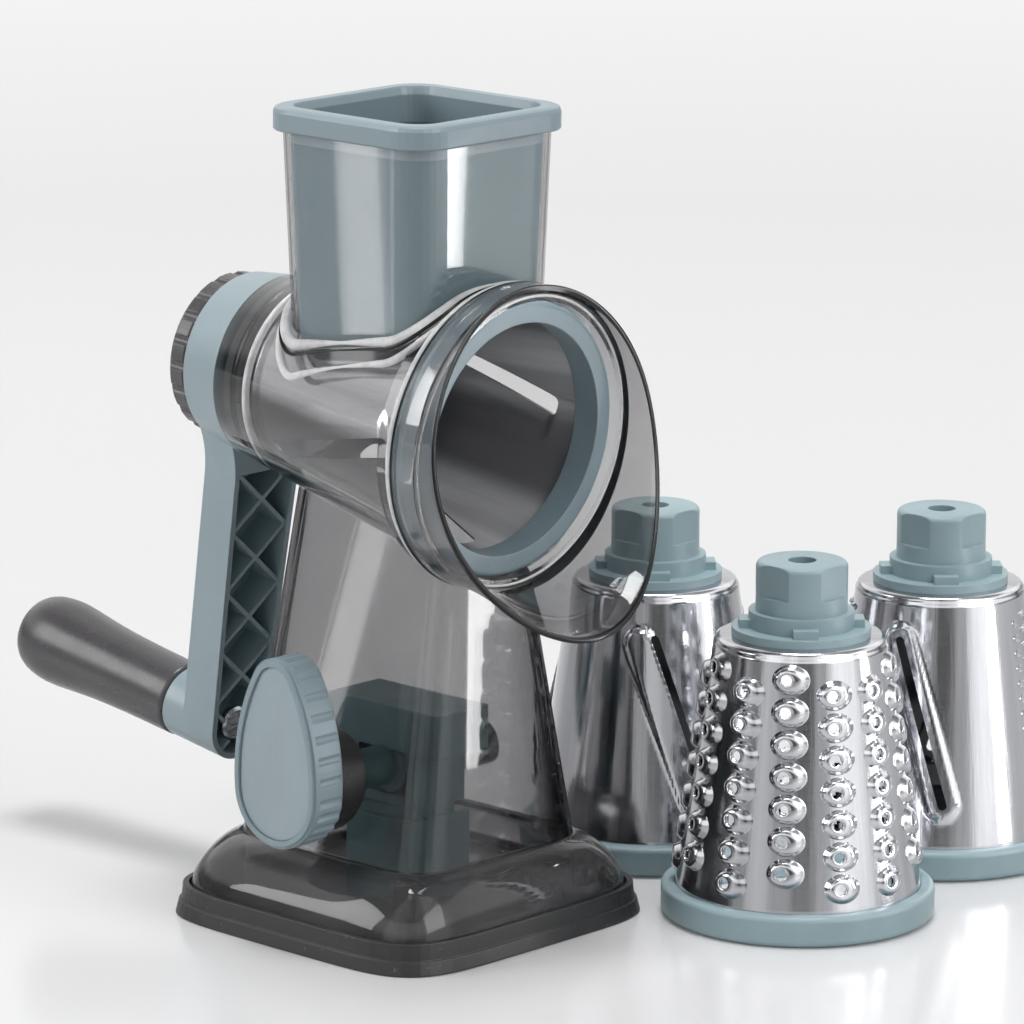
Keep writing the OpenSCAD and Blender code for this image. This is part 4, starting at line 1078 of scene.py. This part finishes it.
def world():
    """An even pale surround. Gloss sees a studio of soft boxes with darker gaps between them."""
    surround = bpy.data.worlds.new("studio")
    surround.use_nodes = True
    tree = surround.node_tree
    tree.nodes.clear()

    def node(kind, **values):
        n = tree.nodes.new(kind)
        for key, value in values.items():
            setattr(n, key, value)
        return n

    def math_node(operation, a, b, clamp=False):
        n = node("ShaderNodeMath", operation=operation, use_clamp=clamp)
        for i, v in enumerate((a, b)):
            if isinstance(v, bpy.types.NodeSocket):
                tree.links.new(v, n.inputs[i])
            else:
                n.inputs[i].default_value = v
        return n.outputs[0]

    out = node("ShaderNodeOutputWorld")
    way = node("ShaderNodeTexCoord")
    xyz = node("ShaderNodeSeparateXYZ")
    tree.links.new(way.outputs["Generated"], xyz.inputs[0])
    x, y, z = xyz.outputs
    level = math_node("SQRT", math_node("SUBTRACT", 1.0, math_node("MULTIPLY", z, z), clamp=True), 0.0)

    def between(value, low, high):
        n = node("ShaderNodeMapRange", interpolation_type="SMOOTHSTEP")
        tree.links.new(value, n.inputs[0])
        n.inputs[1].default_value = low
        n.inputs[2].default_value = high
        return n.outputs[0]

    def upright_box(turn, half, soft, strength):
        """The light of one upright soft box."""
        a = math.radians(turn) + VIEW_TURN - math.pi / 2
        toward = math_node("ADD", math_node("MULTIPLY", x, math.cos(a)),
                           math_node("MULTIPLY", y, math.sin(a)))
        toward = math_node("DIVIDE", toward, level)
        outer, inner = math.cos(math.radians(half + soft)), math.cos(math.radians(half - soft))
        return math_node("MULTIPLY", between(toward, outer, inner), strength)

    walls = WALLS
    for box in BOXES:
        walls = math_node("ADD", upright_box(*box), walls)
    ceiling = math_node("MULTIPLY", between(z, *CEILING_SPAN), CEILING)
    slit = math_node("MULTIPLY", between(z, *SLIT_SPAN), SLIT)
    boxes = math_node("ADD", math_node("ADD", walls, ceiling), slit)
    boxes = math_node("MAXIMUM", math_node("MAXIMUM", boxes, DARKEST), upright_box(*BACKDROP))
    gloss = node("ShaderNodeBackground")
    tree.links.new(boxes, gloss.inputs["Color"])
    gloss.inputs["Strength"].default_value = 1.0
    even = node("ShaderNodeBackground")
    even.inputs["Color"].default_value = (1, 1, 1, 1)
    even.inputs["Strength"].default_value = EVEN_LIGHT
    seen = node("ShaderNodeBackground")
    seen.inputs["Color"].default_value = linear(SURROUND)
    path = node("ShaderNodeLightPath")
    first = node("ShaderNodeMixShader")
    tree.links.new(path.outputs["Is Glossy Ray"], first.inputs[0])
    tree.links.new(even.outputs[0], first.inputs[1])
    tree.links.new(gloss.outputs[0], first.inputs[2])
    show = math_node("MAXIMUM", path.outputs["Is Camera Ray"], path.outputs["Is Transmission Ray"])
    second = node("ShaderNodeMixShader")
    tree.links.new(show, second.inputs[0])
    tree.links.new(first.outputs[0], second.inputs[1])
    tree.links.new(seen.outputs[0], second.inputs[2])
    tree.links.new(second.outputs[0], out.inputs[0])
    bpy.context.scene.world = surround


def lamp(name, place, aim, size, watts, size_y=None, gloss_only=False):
    """A soft area lamp. One for gloss alone is kept off the floor and the skirt."""
    light = bpy.data.lights.new(name, "AREA")
    light.energy = watts
    light.size = size
    if size_y:
        light.shape = "RECTANGLE"
        light.size_y = size_y
    obj = bpy.data.objects.new(name, light)
    obj.location = place
    obj.rotation_euler = (Vector(place) - Vector(aim)).to_track_quat("Z", "Y").to_euler()
    obj.visible_camera = False
    obj.visible_diffuse = not gloss_only
    if gloss_only:
        obj.light_linking.receiver_collection = NOT_ON_FLOOR
    bpy.context.scene.collection.objects.link(obj)


CAMERA_RISE = math.radians(12.8)
CAMERA_AIM = Vector((0, 0, 0.145))
CAMERA_AWAY = 2.2
LENS = 216.6
SHIFT_X, SHIFT_Y = 0.1016, 0.0068


def camera():
    """The photograph's own view: a long lens, well away."""
    lens = bpy.data.cameras.new("camera")
    lens.sensor_width = 36
    lens.lens = LENS
    lens.shift_x = SHIFT_X
    lens.shift_y = SHIFT_Y
    lens.clip_end = 100
    obj = bpy.data.objects.new("camera", lens)
    bpy.context.scene.collection.objects.link(obj)
    level = math.cos(CAMERA_RISE)
    back = Vector((math.sin(VIEW_TURN) * level, -math.cos(VIEW_TURN) * level, math.sin(CAMERA_RISE)))
    obj.location = CAMERA_AIM + back * CAMERA_AWAY
    obj.rotation_euler = back.to_track_quat("Z", "Y").to_euler()
    bpy.context.scene.camera = obj


# What the lamps for gloss leave out.
NOT_ON_FLOOR = bpy.data.collections.new("not_on_floor")
NOT_ON_FLOOR.objects.link(floor())
NOT_ON_FLOOR.objects.link(skirt)
for unlit in NOT_ON_FLOOR.collection_objects:
    unlit.light_linking.link_state = "EXCLUDE"
world()
lamp("key", (-0.1, 0.3, 3.4), (0, 0.1, 0.1), size=1.1, watts=58)
lamp("left", (-1.6, -2.2, 1.5), (0, 0, 0.15), size=1.4, size_y=1.8, watts=40)
lamp("right", (2.4, 0.2, 1.5), (0, 0, 0.15), size=1.4, size_y=1.8, watts=23)
lamp("strip_left", (-0.306, -0.352, 0.15), (0, -0.0375, 0.25), size=0.018, size_y=0.36, watts=0.07,
     gloss_only=True)
lamp("strip_right", (0.344, 0.278, 0.15), (0.0375, -0.0357, 0.25), size=0.040, size_y=0.30, watts=0.40,
     gloss_only=True)
lamp("in_grater", GRATER.translation + Vector((0, 0, 0.09)), GRATER.translation, size=0.02, watts=0.06)
camera()
bpy.context.scene.view_settings.view_transform = "Standard"
